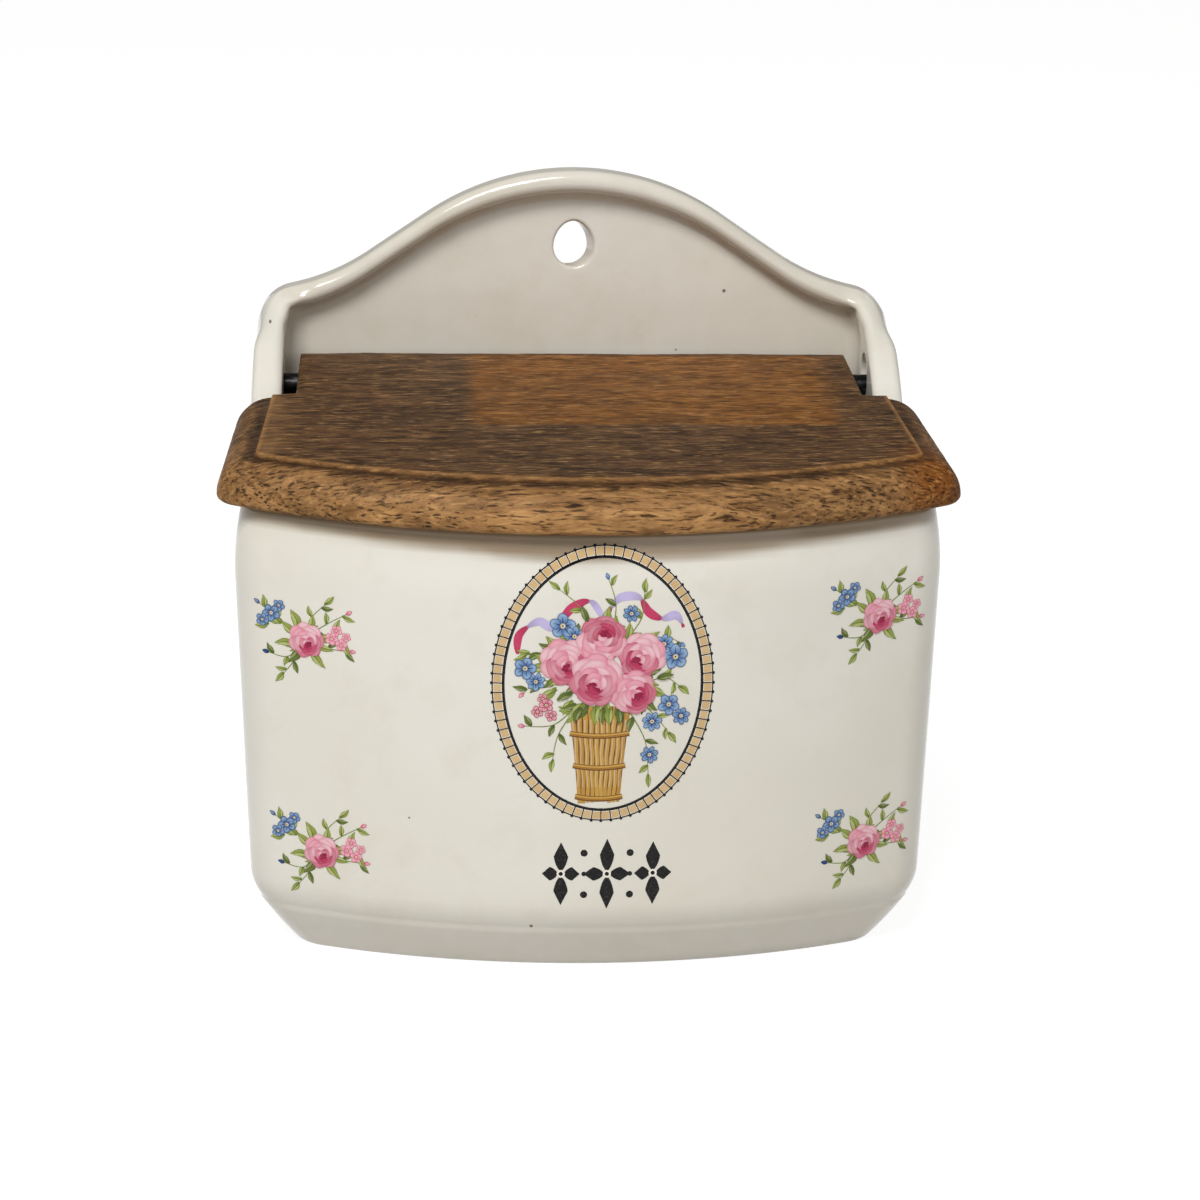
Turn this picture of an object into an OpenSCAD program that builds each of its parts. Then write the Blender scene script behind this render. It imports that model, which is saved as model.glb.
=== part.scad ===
// Wall-hung salt box: a slip-cast glazed body with a hinged wooden lid.
// Millimetres. The front faces -Y, +Z is up, and the flat back hangs on the wall.
// Plans and profiles are written as [x, u]: u is the distance from the wall face.

/* [Container] */
// Width across the belt, the widest part of the body
body_w = 149; // [140:0.5:165]
// Depth from the wall face to the middle of the bowed front
body_d = 117; // [108:0.5:130]
// Height of the rim at the middle of the front
rim_h = 96; // [90:0.5:102]
// Radius of the bowed front, seen from above
bow_r = 145; // [130:1:200]
// Radius of the upright front corners
corner_r = 12; // [9:0.5:15]
// Radius of the upright back corners
back_corner_r = 2.5; // [1.5:0.25:3.5]
// Thickness of the container's wall
wall_t = 6.2; // [5:0.1:7]
// Thickness of the floor
floor_t = 6.5; // [5:0.1:9]
// Radius between the wall and the floor, inside
floor_r = 11; // [8:0.5:13]
// How much each side draws in from the belt down to the lower bevel
side_draft = 2.6; // [1:0.1:4]
// How much the front draws in from the belt down to the lower bevel
front_draft = 0.6; // [0:0.1:2]
// Height of the lower bevel
bevel_h = 13; // [9:0.5:15]
// How far the lower bevel sets the foot in at the sides
bevel_in = 9.8; // [7:0.2:11]
// How far the lower bevel sets the foot in at the front
bevel_front = 8; // [6:0.2:11]
// How far the lower bevel bulges outward halfway up
bevel_bulge = 0.5; // [0:0.1:0.8]
// Radius that blends the wall into the lower bevel
bevel_blend_r = 10; // [6:0.5:14]
// Height of the rounded shoulder under the rim
shoulder_h = 14; // [10:0.5:18]
// How far the rim, the cheeks and the back plate's top draw in from the belt
shoulder_in = 1.5; // [1:0.1:2.6]
// Width of the rim that the lid closes on
rim_t = 4.6; // [3.8:0.1:5.5]
// Rounding of the rim's two edges
rim_edge_r = 1.4; // [0.8:0.1:1.8]

/* [Back plate] */
// Height of the whole box, to the crown of the back plate
overall_h = 154; // [148:0.5:162]
// Thickness of the back plate and of the back wall
plate_t = 5.4; // [4.8:0.1:5.8]
// Radius of the crown
crown_r = 60.5; // [56:0.5:68]
// Steepest slope of the outline beside the crown, in degrees
ogee_angle = 34; // [30:0.5:36]
// Radius of the hollow between the crown and the shoulder
hollow_r = 50; // [40:1:55]
// Slope of the outline where the hollow meets the shoulder, in degrees
brow_angle = 12; // [10:0.5:16]
// Radius of the shoulder above each cheek
brow_r = 10; // [8:0.5:12]
// Height of the shoulder's start above the hinge pins' axis
brow_rise = 20.6; // [19.4:0.1:24]
// Depth of the rolled rim from the wall face
bead_d = 10; // [8.6:0.1:10.6]
// Height of the rolled rim
bead_h = 5.2; // [4.4:0.1:6]
// Radius at which the rolled rim turns forward into each cheek
bead_corner_r = 7; // [5:0.5:9]
// Radius of the cove under the rolled rim
cove_r = 2.2; // [1.4:0.1:3]
// Distance of the hanging hole's centre below the crown
hang_down = 18; // [17:0.5:22]
// Radius of the hanging hole
hang_r = 4.5; // [3.5:0.1:5]
// Radius of the notch above the hanging hole
hang_notch_r = 3; // [2:0.1:3.2]
// Height of the notch above the hanging hole's centre
hang_notch_up = 2.9; // [2.4:0.1:3.2]

/* [Cheeks] */
// Thickness of the two cheeks that carry the lid
cheek_t = 6.7; // [6:0.1:7.4]
// Distance of the cheeks' front end from the wall face
cheek_d = 40; // [36:0.5:43]
// How late the cheeks' top edge falls towards the front
cheek_fall = 0.8; // [0.7:0.02:1.2]
// Rounding of the cheeks' edges
cheek_edge_r = 2.2; // [1.4:0.1:2.6]

/* [Hinge] */
// Distance of the hinge pins' axis from the wall face
hinge_d = 19; // [18.2:0.1:20]
// Radius of the hinge pins
pin_r = 2.7; // [2.3:0.1:2.9]
// Radius of the oversize holes in the cheeks
cheek_hole_r = 5.2; // [4.2:0.1:5.4]
// Gap between a pin and the lowest point of its hole
pin_seat_gap = 0.2; // [0.1:0.05:0.3]
// Radial clearance of a pin in its blind hole in the lid
pin_fit = 0.02; // [0.01:0.01:0.1]
// Length of a pin inside the lid
pin_in_lid = 13; // [8:0.5:18]
// How far a pin's end stays behind the cheek's outer face
pin_recess = 1.8; // [0.5:0.1:3]
// Chamfer on a pin's ends
pin_chamfer = 0.5; // [0.2:0.1:0.8]

/* [Lid] */
// Width of the lid across its front corners
lid_w = 156; // [152:0.5:172]
// How much narrower each side of the lid is at the wings' back edge
lid_flare = 1.7; // [0:0.1:3]
// Thickness of the lid
lid_t = 10; // [9:0.1:10.6]
// Forward slope of the closed lid, in degrees
lid_tilt = 3; // [1:0.25:4]
// Gap between the closed lid and the rim
lid_seat_gap = 0.2; // [0.1:0.05:0.3]
// How far the lid stands over the middle of the bowed front
lid_over = 1.6; // [1:0.1:5]
// Length of the tongue behind the hinge pins
lid_tail = 11.5; // [9:0.25:11.75]
// Gap between the tongue and each cheek
tongue_gap = 3.3; // [1.5:0.1:4.5]
// Gap between the cheeks' front end and the lid's notches
notch_gap = 4.4; // [1.6:0.1:5]
// How much further forward the wings' back edge is at the lid's sides
notch_slant = 2.5; // [0:0.25:4]
// Radius of the lid's front corners
lid_corner_r = 7; // [5:0.25:9]
// Width of the moulding round the raised field
mould_w = 8; // [7:0.1:10.5]
// Height of the small step round the raised field
field_step = 0.9; // [0.5:0.1:1.4]
// Rounding of the lid's lower edge
lower_edge_r = 1.2; // [0.8:0.1:2.6]
// Rounding of the tongue's upper back edge
tail_edge_r = 1.2; // [0.6:0.1:1.6]

/* [Hidden] */

glaze = [0.93, 0.91, 0.85];
beech = [0.48, 0.33, 0.19];
blackened_steel = [0.10, 0.10, 0.11];

// Round holes and pins
$fn = 64;

// Stations round a plan: along the back, the back corners, the cheeks, the sides and the front
back_n = 32;
back_corner_n = 11;
cheek_n = 9;
side_n = 5;
corner_n = 6;
front_n = 16;

// Places that follow from the sizes above
half_w = body_w / 2;
top_half_w = half_w - shoulder_in;
cheek_in = top_half_w - cheek_t;
cheek_start = bead_d + bead_corner_r;
belt_h = rim_h - shoulder_h;
slope = tan(lid_tilt);
hinge_h = rim_z(hinge_d) + (lid_t / 2 + lid_seat_gap) / cos(lid_tilt);
cheek_hole_h = hinge_h + cheek_hole_r - pin_r - pin_seat_gap;
tongue_w = cheek_in - tongue_gap;
notch_v = (cheek_d + notch_gap - hinge_d) / cos(lid_tilt);
overall_d = body_d + lid_over;
lid_v = (overall_d - hinge_d + (lid_t / 2 - lower_edge_r) * sin(lid_tilt)) / cos(lid_tilt);
mould_h = lid_t - field_step - lower_edge_r;
lid_bow_r = bow_r + lid_over - mould_w / 2;

// Height of the rim, which slopes with the closed lid
function rim_z(u) = rim_h + slope * (body_d - u);

// Outline of the back plate's top, as its fall below the crown: crown, slope and hollow. It is
// stretched in height by a hair, so that it ends at the shoulder, which has its place over the hinge.
slope_x = crown_r * sin(ogee_angle);
slope_fall = crown_r * (1 - cos(ogee_angle));
brow_x = top_half_w - brow_r * (1 - sin(brow_angle));
hollow_x = brow_x - hollow_r * (sin(ogee_angle) - sin(brow_angle));
hollow_fall = slope_fall + (hollow_x - slope_x) * tan(ogee_angle);
brow_fall = hollow_fall + hollow_r * (cos(brow_angle) - cos(ogee_angle));
brow_z = hinge_h + brow_rise;
fall_stretch = (overall_h - brow_z) / brow_fall;

function arc_height(r, x) = sqrt(max(0, r * r - x * x));
function fall(a) =
    a < slope_x ? crown_r - arc_height(crown_r, a)
    : a < hollow_x ? slope_fall + (a - slope_x) * tan(ogee_angle)
    : hollow_fall - hollow_r * cos(ogee_angle) + arc_height(hollow_r, a - hollow_x - hollow_r * sin(ogee_angle));
function ogee_z(x) =
    let (a = abs(x))
    a < brow_x ? overall_h - fall_stretch * fall(a)
    : brow_z - brow_r * cos(brow_angle) + arc_height(brow_r, a - brow_x + brow_r * sin(brow_angle));

function smooth(t) = let (k = min(1, max(0, t))) k * k * (3 - 2 * k);
function mix(a, b, t) = a * (1 - t) + b * t;

// Height of the cheeks' inner edge: as high as the back plate at first, then falling to the rim
brow_top = ogee_z(cheek_in);
brow_end = bead_d - 2;
function cheek_share(u) = max(0, (u - brow_end) / (cheek_d - brow_end));
function cheek_z(u) =
    let (low = rim_z(cheek_d), k = cheek_share(u))
    k >= 1 ? rim_z(u) : max(rim_z(u), low + (brow_top - low) * sqrt(1 - pow(k, cheek_fall)));

// Height of the top edge at a point; the rounded brow of the back plate fades out along a cheek
brow_share = 0.55;
function crest_z(x, u) =
    u <= brow_end ? ogee_z(x)
    : let (brow = max(0, brow_top - ogee_z(x)), fade = 1 - smooth(cheek_share(u) / brow_share))
      max(rim_z(u), cheek_z(u) - brow * fade);

// A point of the way round a back corner, at a length along it: back, arc of radius rb, side
back_share = 0.81;
function corner_point(w, rb, back, along) =
    let (
        to_arc = w * (1 - back_share) - rb,
        arc = rb * PI / 2,
        a = 90 * (along - to_arc) / arc
    )
    along < to_arc ? [w * back_share + along, back]
    : a < 90 ? [w - rb + rb * sin(a), back + rb - rb * cos(a)]
    : [w, back + rb + along - to_arc - arc];
function corner_length(w, rb, back) =
    w * (1 - back_share) - rb + rb * PI / 2 + cheek_start - back - rb;

// Plan of the body at one height: half width, depth, corner radii and the back's distance
function plan_half(w, d, rc, rb, back) =
    let (
        bow_u = d - bow_r,
        corner_u = bow_u + sqrt(pow(bow_r - rc, 2) - pow(w - rc, 2)),
        g = atan2(corner_u - bow_u, w - rc)
    )
    concat(
        [for (k = [1:back_corner_n])
            corner_point(w, rb, back, corner_length(w, rb, back) * k / (back_corner_n + 1))],
        [for (k = [0:cheek_n]) [w, cheek_start + (cheek_d - cheek_start) * sin(90 * k / cheek_n)]],
        [for (k = [1:side_n]) [w, cheek_d + (corner_u - cheek_d) * k / side_n]],
        [for (k = [1:corner_n])
            let (a = g * k / corner_n)
            [w - rc + rc * cos(a), corner_u + rc * sin(a)]]
    );
function plan_front(w, d, rc) =
    let (
        bow_u = d - bow_r,
        corner_u = bow_u + sqrt(pow(bow_r - rc, 2) - pow(w - rc, 2)),
        g = atan2(corner_u - bow_u, w - rc)
    )
    [for (k = [1:front_n - 1])
        let (a = g + (180 - 2 * g) * k / front_n)
        [bow_r * cos(a), bow_u + bow_r * sin(a)]];
function mirrored(pts) = [for (k = [len(pts) - 1:-1:0]) [-pts[k][0], pts[k][1]]];
function plan(w, d, rc, rb, back) =
    let (half = plan_half(w, d, rc, rb, back))
    concat(
        [for (k = [0:back_n]) [w * back_share * (2 * k / back_n - 1), back]],
        half,
        plan_front(w, d, rc),
        mirrored(half)
    );

// Share of "side" at each station: none along the back, rising round the back corners
corner_share_start = 0.3;
corner_share = [for (k = [1:back_corner_n])
    smooth((k / (back_corner_n + 1) - corner_share_start) / (1 - corner_share_start))];
half_share = concat(corner_share, [for (k = [0:cheek_n + side_n + corner_n]) 1]);
side_share = concat(
    [for (k = [0:back_n]) 0],
    half_share,
    [for (k = [1:front_n - 1]) 1],
    [for (k = [len(half_share) - 1:-1:0]) half_share[k]]
);
stations = len(side_share);

// Plans of the outer wall: the belt, and the top edge with the shoulder drawn in
function inner_r(r, t) = max(2.5, r - t);
belt_plan = plan(half_w, body_d, corner_r, back_corner_r, 0);
rim_plan = plan(top_half_w, body_d - shoulder_in, corner_r - shoulder_in / 2, back_corner_r, 0);

// Plans of the inner wall: the edge of the rolled rim and the cheeks, and the mouth under it
inner_back_r = 3;
lip_plan = plan(cheek_in, body_d - shoulder_in - rim_t, inner_r(corner_r, rim_t), bead_corner_r, bead_d);
mouth_plan = plan(cheek_in, body_d - shoulder_in - rim_t, inner_r(corner_r, rim_t), inner_back_r, plate_t);

// Outer wall below the belt as [height, inset at the sides]: foot, bevel, blend and draft
bevel_angle = atan(bevel_in / bevel_h);
blend_len = bevel_blend_r * tan(bevel_angle / 2);
blend_n = 4;
foot_edge = 0.7;
bevel_n = 3;
function bevel_level(t) = [bevel_h * t, bevel_in * (1 - t) - 4 * bevel_bulge * t * (1 - t)];
outer_levels = concat(
    [[0, bevel_in + foot_edge / 2], [foot_edge, bevel_level(foot_edge / bevel_h)[1]]],
    [for (k = [1:bevel_n - 1]) bevel_level(k / (bevel_n + 1))],
    [for (k = [0:blend_n])
        let (a = bevel_angle * (1 - k / blend_n))
        [bevel_h + blend_len - bevel_blend_r * sin(a), bevel_blend_r * (1 - cos(a))]],
    [[belt_h, 0]]
);
function draft_share(z) = 1 - min(1, max(0, (z - bevel_h) / (belt_h - bevel_h)));
function outer_plan(z, inset) =
    let (t = draft_share(z))
    plan(half_w - side_draft * t - inset, body_d - front_draft * t - inset * bevel_front / bevel_in,
         corner_r - inset / 3, back_corner_r, 0);

// Inner wall below the mouth, down to the floor, as [height, inset]
floor_n = 5;
inner_levels = concat(
    [[belt_h - 2, 0]],
    [for (k = [0:floor_n])
        let (a = 90 * k / floor_n)
        [floor_t + floor_r * (1 - sin(a)), floor_r * (1 - cos(a))]]
);
function inner_plan(z, inset) =
    let (
        t = draft_share(z),
        follow = max(0, bevel_in * (bevel_h + blend_len - z) / (bevel_h + blend_len)) / 3
    )
    plan(half_w - wall_t - side_draft * t - inset - follow,
         body_d - wall_t - front_draft * t - inset - follow,
         max(3, inner_r(corner_r, wall_t) - inset / 4), inner_back_r, plate_t + inset);

// Sections of the top edge: [share of the way to its inner edge, share of the way back under the
// rolled rim, drop below the crest]. One section is the rounded edge, the other the rolled rim.
lip_n = 12;
function lip_edge(j, t, r) =
    let (h = lip_n / 2, k = j <= h - 1 ? j : lip_n - j, a = 90 * k / (h - 1))
    j == h ? [0.5, 0, 0]
    : let (o = r * (1 - cos(a)) / t) [j < h ? o : 1 - o, 0, r * (1 - sin(a))];
bead_back_r = 2.4;
bead_r = bead_h / 2;
function bead_section(u, drop, under) =
    [under ? 1 : u / bead_d, under ? (bead_d - u) / (bead_d - plate_t) : 0, drop];
function lip_bead(j) =
    j <= 3 ? let (a = 30 * j) bead_section(bead_back_r * (1 - cos(a)), bead_back_r * (1 - sin(a)), false)
    : j <= 9 ? let (a = 90 - 32 * (j - 4))
        bead_section(bead_d - bead_r + bead_r * cos(a), bead_r * (1 - sin(a)), a < 0)
    : let (a = 110 + 35 * (j - 10))
        bead_section(plate_t + cove_r * (1 + cos(a)), bead_h + cove_r * (1 - sin(a)), true);

// One point of the top edge; the cheeks' wider rounding turns into the rim's from one place on
rim_like_start = 36;
rim_like_len = 14;
function lip_point(i, j) =
    let (
        rim_like = smooth((rim_plan[i][1] - rim_like_start) / rim_like_len),
        width = norm(lip_plan[i] - rim_plan[i]),
        edge = lip_edge(j, width, mix(cheek_edge_r, rim_edge_r, rim_like)),
        s = mix(lip_bead(j), edge, side_share[i]),
        p = mix(mix(rim_plan[i], lip_plan[i], s[0]), mouth_plan[i], s[1])
    )
    [p[0], p[1], mix(ogee_z(p[0]), crest_z(p[0], p[1]), side_share[i]) - s[2]];

// Rows of the skin, from the foot up the outside, over the top edge and down the inside
function ring(pts, z) = [for (p = pts) [p[0], p[1], z]];
shoulder_n = 3;
shoulder_rows = [for (k = [1:shoulder_n])
    [for (i = [0:stations - 1])
        let (t = k / (shoulder_n + 1), top = lip_point(i, 0), p = mix(belt_plan[i], rim_plan[i], t * t))
        [p[0], p[1], belt_h + (top[2] - belt_h) * t]]];
lip_rows = [for (j = [0:lip_n]) [for (i = [0:stations - 1]) lip_point(i, j)]];
under_drop = bead_h + cove_r + 1.4;
throat_drop = 4;
throat_row = [for (p = mouth_plan) [p[0], p[1], rim_z(p[1]) - throat_drop]];
under_row = [for (i = [0:stations - 1])
    let (p = mouth_plan[i], crest = mix(ogee_z(p[0]), crest_z(p[0], p[1]), side_share[i]))
    [p[0], p[1], max(crest - under_drop, throat_row[i][2] + throat_drop / 4)]];
skin_rows = concat(
    [for (l = outer_levels) ring(outer_plan(l[0], l[1]), l[0])],
    shoulder_rows,
    lip_rows,
    [under_row, throat_row],
    [for (l = inner_levels) ring(inner_plan(l[0], l[1]), l[0])]
);

// Closed skin over rows of equal length, with a flat fan round hub on the first and the last row
module skin(rows, hub) {
    n = len(rows[0]);
    last = len(rows) - 1;
    low_hub = n * len(rows);
    high_hub = low_hub + 1;
    points = concat(
        [for (row = rows) for (p = row) [p[0], -p[1], p[2]]],
        [[0, -hub, rows[0][0][2]], [0, -hub, rows[last][0][2]]]
    );
    sides = [for (r = [0:last - 1]) for (i = [0:n - 1])
        let (a = r * n + i, b = r * n + (i + 1) % n, c = b + n, d = a + n)
        each [[a, c, d], [a, b, c]]];
    low_fan = [for (i = [0:n - 1]) [low_hub, (i + 1) % n, i]];
    high_fan = [for (i = [0:n - 1]) [high_hub, last * n + i, last * n + (i + 1) % n]];
    polyhedron(points = points, faces = concat(sides, low_fan, high_fan), convexity = 10);
}

// Moves a shape from [x, -u, z] to the part's frame, centred on the floor
module placed() {
    translate([0, overall_d / 2, 0]) children();
}

module bore_x(x, u, z, r, len) {
    translate([x, -u, z]) rotate([0, 90, 0]) cylinder(r = r, h = len, center = true);
}

module bore_u(z, r) {
    through = 4 * bead_d;
    translate([0, through / 2, z]) rotate([90, 0, 0]) cylinder(r = r, h = through);
}

module ceramic_body() {
    color(glaze)
    placed()
    difference() {
        skin(skin_rows, body_d / 2);
        for (side = [-1, 1])
            bore_x(side * (top_half_w - cheek_t / 2), hinge_d, cheek_hole_h, cheek_hole_r, 2 * cheek_t);
        bore_u(overall_h - hang_down, hang_r);
        bore_u(overall_h - hang_down + hang_notch_up, hang_notch_r);
    }
}

// Plan of the lid in its own frame: [x, v], v forward from the hinge axis
lid_side_n = 3;
function lid_half(inset, rear) =
    let (
        w = lid_w / 2 - inset,
        d = lid_v - inset,
        rc = max(1.5, lid_corner_r - inset / 2),
        bow_v = d - lid_bow_r,
        corner_v = bow_v + sqrt(pow(lid_bow_r - rc, 2) - pow(w - rc, 2)),
        g = atan2(corner_v - bow_v, w - rc),
        back_w = w - lid_flare,
        wing_v = notch_v + notch_slant * (back_w - tongue_w) / (lid_w / 2 - tongue_w)
    )
    concat(
        [[tongue_w, rear - lid_tail], [tongue_w, notch_v]],
        [for (k = [0:lid_side_n]) mix([back_w, wing_v], [w, corner_v], k / lid_side_n)],
        [for (k = [1:corner_n])
            let (a = g * k / corner_n)
            [w - rc + rc * cos(a), corner_v + rc * sin(a)]],
        [for (k = [1:front_n / 2])
            let (a = g + (90 - g) * k / (front_n / 2))
            [lid_bow_r * cos(a), bow_v + lid_bow_r * sin(a)]]
    );
function lid_plan(inset, rear) =
    let (half = lid_half(inset, rear))
    concat(half, [for (p = mirrored(half)) if (p[0] < -0.001) p]);

// Sections of the lid from its underside to its raised field: [height, inset, rear inset]
mould_n = 7;
lower_n = 2;
lid_levels = concat(
    [for (k = [0:lower_n])
        let (a = 90 * k / (lower_n + 1))
        [-lid_t / 2 + lower_edge_r * (1 - cos(a)), lower_edge_r * (1 - sin(a)), 0]],
    [for (k = [0:mould_n])
        let (a = 90 * k / mould_n)
        [-lid_t / 2 + lower_edge_r + mould_h * sin(a), mould_w * (1 - cos(a)),
         k == mould_n ? tail_edge_r / 4 : 0]],
    [[lid_t / 2, mould_w + 0.1, tail_edge_r]]
);

// Moves a shape from the lid's own frame to the closed lid's place
module on_hinge() {
    translate([0, -hinge_d, hinge_h]) rotate([lid_tilt, 0, 0]) children();
}

module wooden_lid() {
    color(beech)
    placed()
    on_hinge()
    difference() {
        skin([for (l = lid_levels) [for (p = lid_plan(l[1], l[2])) [p[0], p[1], l[0]]]], (notch_v + lid_v) / 2);
        for (side = [-1, 1])
            bore_x(side * tongue_w, 0, 0, pin_r + pin_fit, 2 * pin_in_lid);
    }
}

module hinge_pin(side) {
    inner = tongue_w - pin_in_lid;
    length = top_half_w - pin_recess - inner;
    color(blackened_steel)
    placed()
    translate([side * inner, -hinge_d, hinge_h])
    rotate([0, side * 90, 0])
    rotate_extrude()
    polygon([
        [0, 0],
        [pin_r - pin_chamfer, 0],
        [pin_r, pin_chamfer],
        [pin_r, length - pin_chamfer],
        [pin_r - pin_chamfer, length],
        [0, length]
    ]);
}

module left_hinge_pin() {
    hinge_pin(-1);
}

module right_hinge_pin() {
    hinge_pin(1);
}

ceramic_body();
wooden_lid();
left_hinge_pin();
right_hinge_pin();
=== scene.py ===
"""Looks of the wall-hung salt box: glazed body, worn beech lid, hinge pins and transfers on the glaze.

Lengths are millimetres until a mesh is made. Plans are [x, u], where u is the distance from the wall
face, as in the part's source, so y = WALL_Y - u. The sizes below repeat the source's own.
"""
import math
import random

import bpy
import bmesh
import numpy as np
from mathutils import Matrix, Vector


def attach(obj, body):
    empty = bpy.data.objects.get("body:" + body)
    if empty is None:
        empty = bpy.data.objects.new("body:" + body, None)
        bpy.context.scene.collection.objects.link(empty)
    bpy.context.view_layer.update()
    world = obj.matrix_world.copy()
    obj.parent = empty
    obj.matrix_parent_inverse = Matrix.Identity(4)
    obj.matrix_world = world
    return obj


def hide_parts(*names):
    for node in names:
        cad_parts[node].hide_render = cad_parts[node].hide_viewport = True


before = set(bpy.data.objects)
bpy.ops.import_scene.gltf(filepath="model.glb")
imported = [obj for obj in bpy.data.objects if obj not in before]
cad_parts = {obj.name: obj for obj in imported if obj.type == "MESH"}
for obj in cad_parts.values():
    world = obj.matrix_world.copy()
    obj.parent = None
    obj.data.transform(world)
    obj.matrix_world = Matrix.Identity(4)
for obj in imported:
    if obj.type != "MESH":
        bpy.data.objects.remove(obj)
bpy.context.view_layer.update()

MM = 0.001

# Container
BODY_W = 149
BODY_D = 117
RIM_H = 96
BOW_R = 145
CORNER_R = 12
BACK_CORNER_R = 2.5
WALL_T = 6.2
FLOOR_T = 6.5
FLOOR_R = 11
SIDE_DRAFT = 2.6
FRONT_DRAFT = 0.6
BEVEL_H = 13
BEVEL_IN = 9.8
BEVEL_FRONT = 8
BEVEL_BULGE = 0.5
BEVEL_BLEND_R = 10
SHOULDER_H = 14
SHOULDER_IN = 1.5
RIM_T = 4.6
RIM_EDGE_R = 1.4
FOOT_EDGE_R = 0.7

# Back plate
OVERALL_H = 154
PLATE_T = 5.4
CROWN_R = 60.5
OGEE_ANGLE = math.radians(34)
HOLLOW_R = 50
BROW_ANGLE = math.radians(12)
BROW_R = 10
BROW_RISE = 20.6
BROW_SHARE = 0.55
BEAD_D = 10
BEAD_H = 5.2
BEAD_BACK_R = 2.4
BEAD_CORNER_R = 7
COVE_R = 2.2
INNER_BACK_R = 3
HANG_DOWN = 18
HANG_R = 4.5
HANG_NOTCH_R = 3
HANG_NOTCH_UP = 2.9
HANG_EDGE_R = 0.9
# The hole was made by hand and leans a little; the part's source keeps it square to the wall
HANG_LEAN = 1.6

# Cheeks and hinge
CHEEK_T = 6.7
CHEEK_D = 40
CHEEK_FALL = 0.8
CHEEK_EDGE_R = 2.2
HINGE_D = 19
PIN_R = 2.7
CHEEK_HOLE_R = 5.2
CHEEK_HOLE_EDGE_R = 0.5
PIN_SEAT_GAP = 0.2
PIN_IN_LID = 13
PIN_RECESS = 1.8
PIN_DOME = 1.1
PIN_RING = 0.03

# Lid
LID_W = 156
LID_FLARE = 1.7
LID_T = 10
LID_TILT = math.radians(3)
LID_SEAT_GAP = 0.2
LID_OVER = 1.6
LID_TAIL = 11.5
TONGUE_GAP = 3.3
NOTCH_GAP = 4.4
NOTCH_SLANT = 2.5
LID_CORNER_R = 7
MOULD_W = 8
FIELD_STEP = 0.9
LOWER_EDGE_R = 1.2
TAIL_EDGE_R = 1.2
ARRIS_R = 0.35
TONGUE_EDGE_IN = 0.5

# Places that follow from them
TOP_HALF_W = BODY_W / 2 - SHOULDER_IN
CHEEK_IN = TOP_HALF_W - CHEEK_T
CHEEK_START = BEAD_D + BEAD_CORNER_R
BELT_H = RIM_H - SHOULDER_H
OVERALL_D = BODY_D + LID_OVER
WALL_Y = OVERALL_D / 2
TONGUE_W = CHEEK_IN - TONGUE_GAP
BEVEL_ANGLE = math.atan(BEVEL_IN / BEVEL_H)
BLEND_LEN = BEVEL_BLEND_R * math.tan(BEVEL_ANGLE / 2)


def rim_z(u):
    return RIM_H + math.tan(LID_TILT) * (BODY_D - u)


HINGE_H = rim_z(HINGE_D) + (LID_T / 2 + LID_SEAT_GAP) / math.cos(LID_TILT)
CHEEK_HOLE_H = HINGE_H + CHEEK_HOLE_R - PIN_R - PIN_SEAT_GAP
NOTCH_V = (CHEEK_D + NOTCH_GAP - HINGE_D) / math.cos(LID_TILT)
LID_V = (OVERALL_D - HINGE_D + (LID_T / 2 - LOWER_EDGE_R) * math.sin(LID_TILT)) / math.cos(LID_TILT)
MOULD_H = LID_T - FIELD_STEP - LOWER_EDGE_R
LID_BOW_R = BOW_R + LID_OVER - MOULD_W / 2


# ---------------------------------------------------------------- small helpers

def smooth(t):
    k = np.clip(t, 0, 1)
    return k * k * (3 - 2 * k)


def mix(a, b, t):
    return a * (1 - t) + b * t


def steps(count):
    return [k / count for k in range(count + 1)]


def quarter(count):
    """Angles from 0 to a right angle."""
    return [math.pi / 2 * t for t in steps(count)]


class Waves:
    """Smooth seeded noise of one or two coordinates, a sum of sine waves, about -1 to 1."""

    OCTAVES = 4

    def __init__(self, seed, length):
        rng = np.random.default_rng(seed)
        self.terms = []
        for octave in range(self.OCTAVES):
            for _ in range(3):
                angle = rng.uniform(0, 2 * math.pi)
                number = 2 * math.pi / length * 1.9 ** octave * rng.uniform(0.8, 1.25)
                wave = number * math.cos(angle), number * math.sin(angle)
                self.terms.append((*wave, rng.uniform(0, 2 * math.pi), 0.6 ** octave))
        self.total = sum(term[3] for term in self.terms) * 0.6

    def __call__(self, a, b=0.0):
        value = sum(h * np.sin(p * a + q * b + phase) for p, q, phase, h in self.terms)
        return value / self.total


def to_frame(points):
    """From millimetres as [x, u, z] to metres in the part's frame."""
    p = np.asarray(points, float)
    return np.stack([p[..., 0], WALL_Y - p[..., 1], p[..., 2]], -1) * MM


def new_object(name, verts, faces, material=None):
    mesh = bpy.data.meshes.new(name)
    mesh.from_pydata([tuple(v) for v in verts], [], [tuple(f) for f in faces])
    mesh.update()
    obj = bpy.data.objects.new(name, mesh)
    bpy.context.scene.collection.objects.link(obj)
    mesh.polygons.foreach_set("use_smooth", [True] * len(mesh.polygons))
    if material:
        mesh.materials.append(material)
    return obj


def face_outward(obj):
    """Turns every face of a closed skin outward."""
    bm = bmesh.new()
    bm.from_mesh(obj.data)
    bmesh.ops.recalc_face_normals(bm, faces=bm.faces)
    bm.to_mesh(obj.data)
    bm.free()


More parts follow.
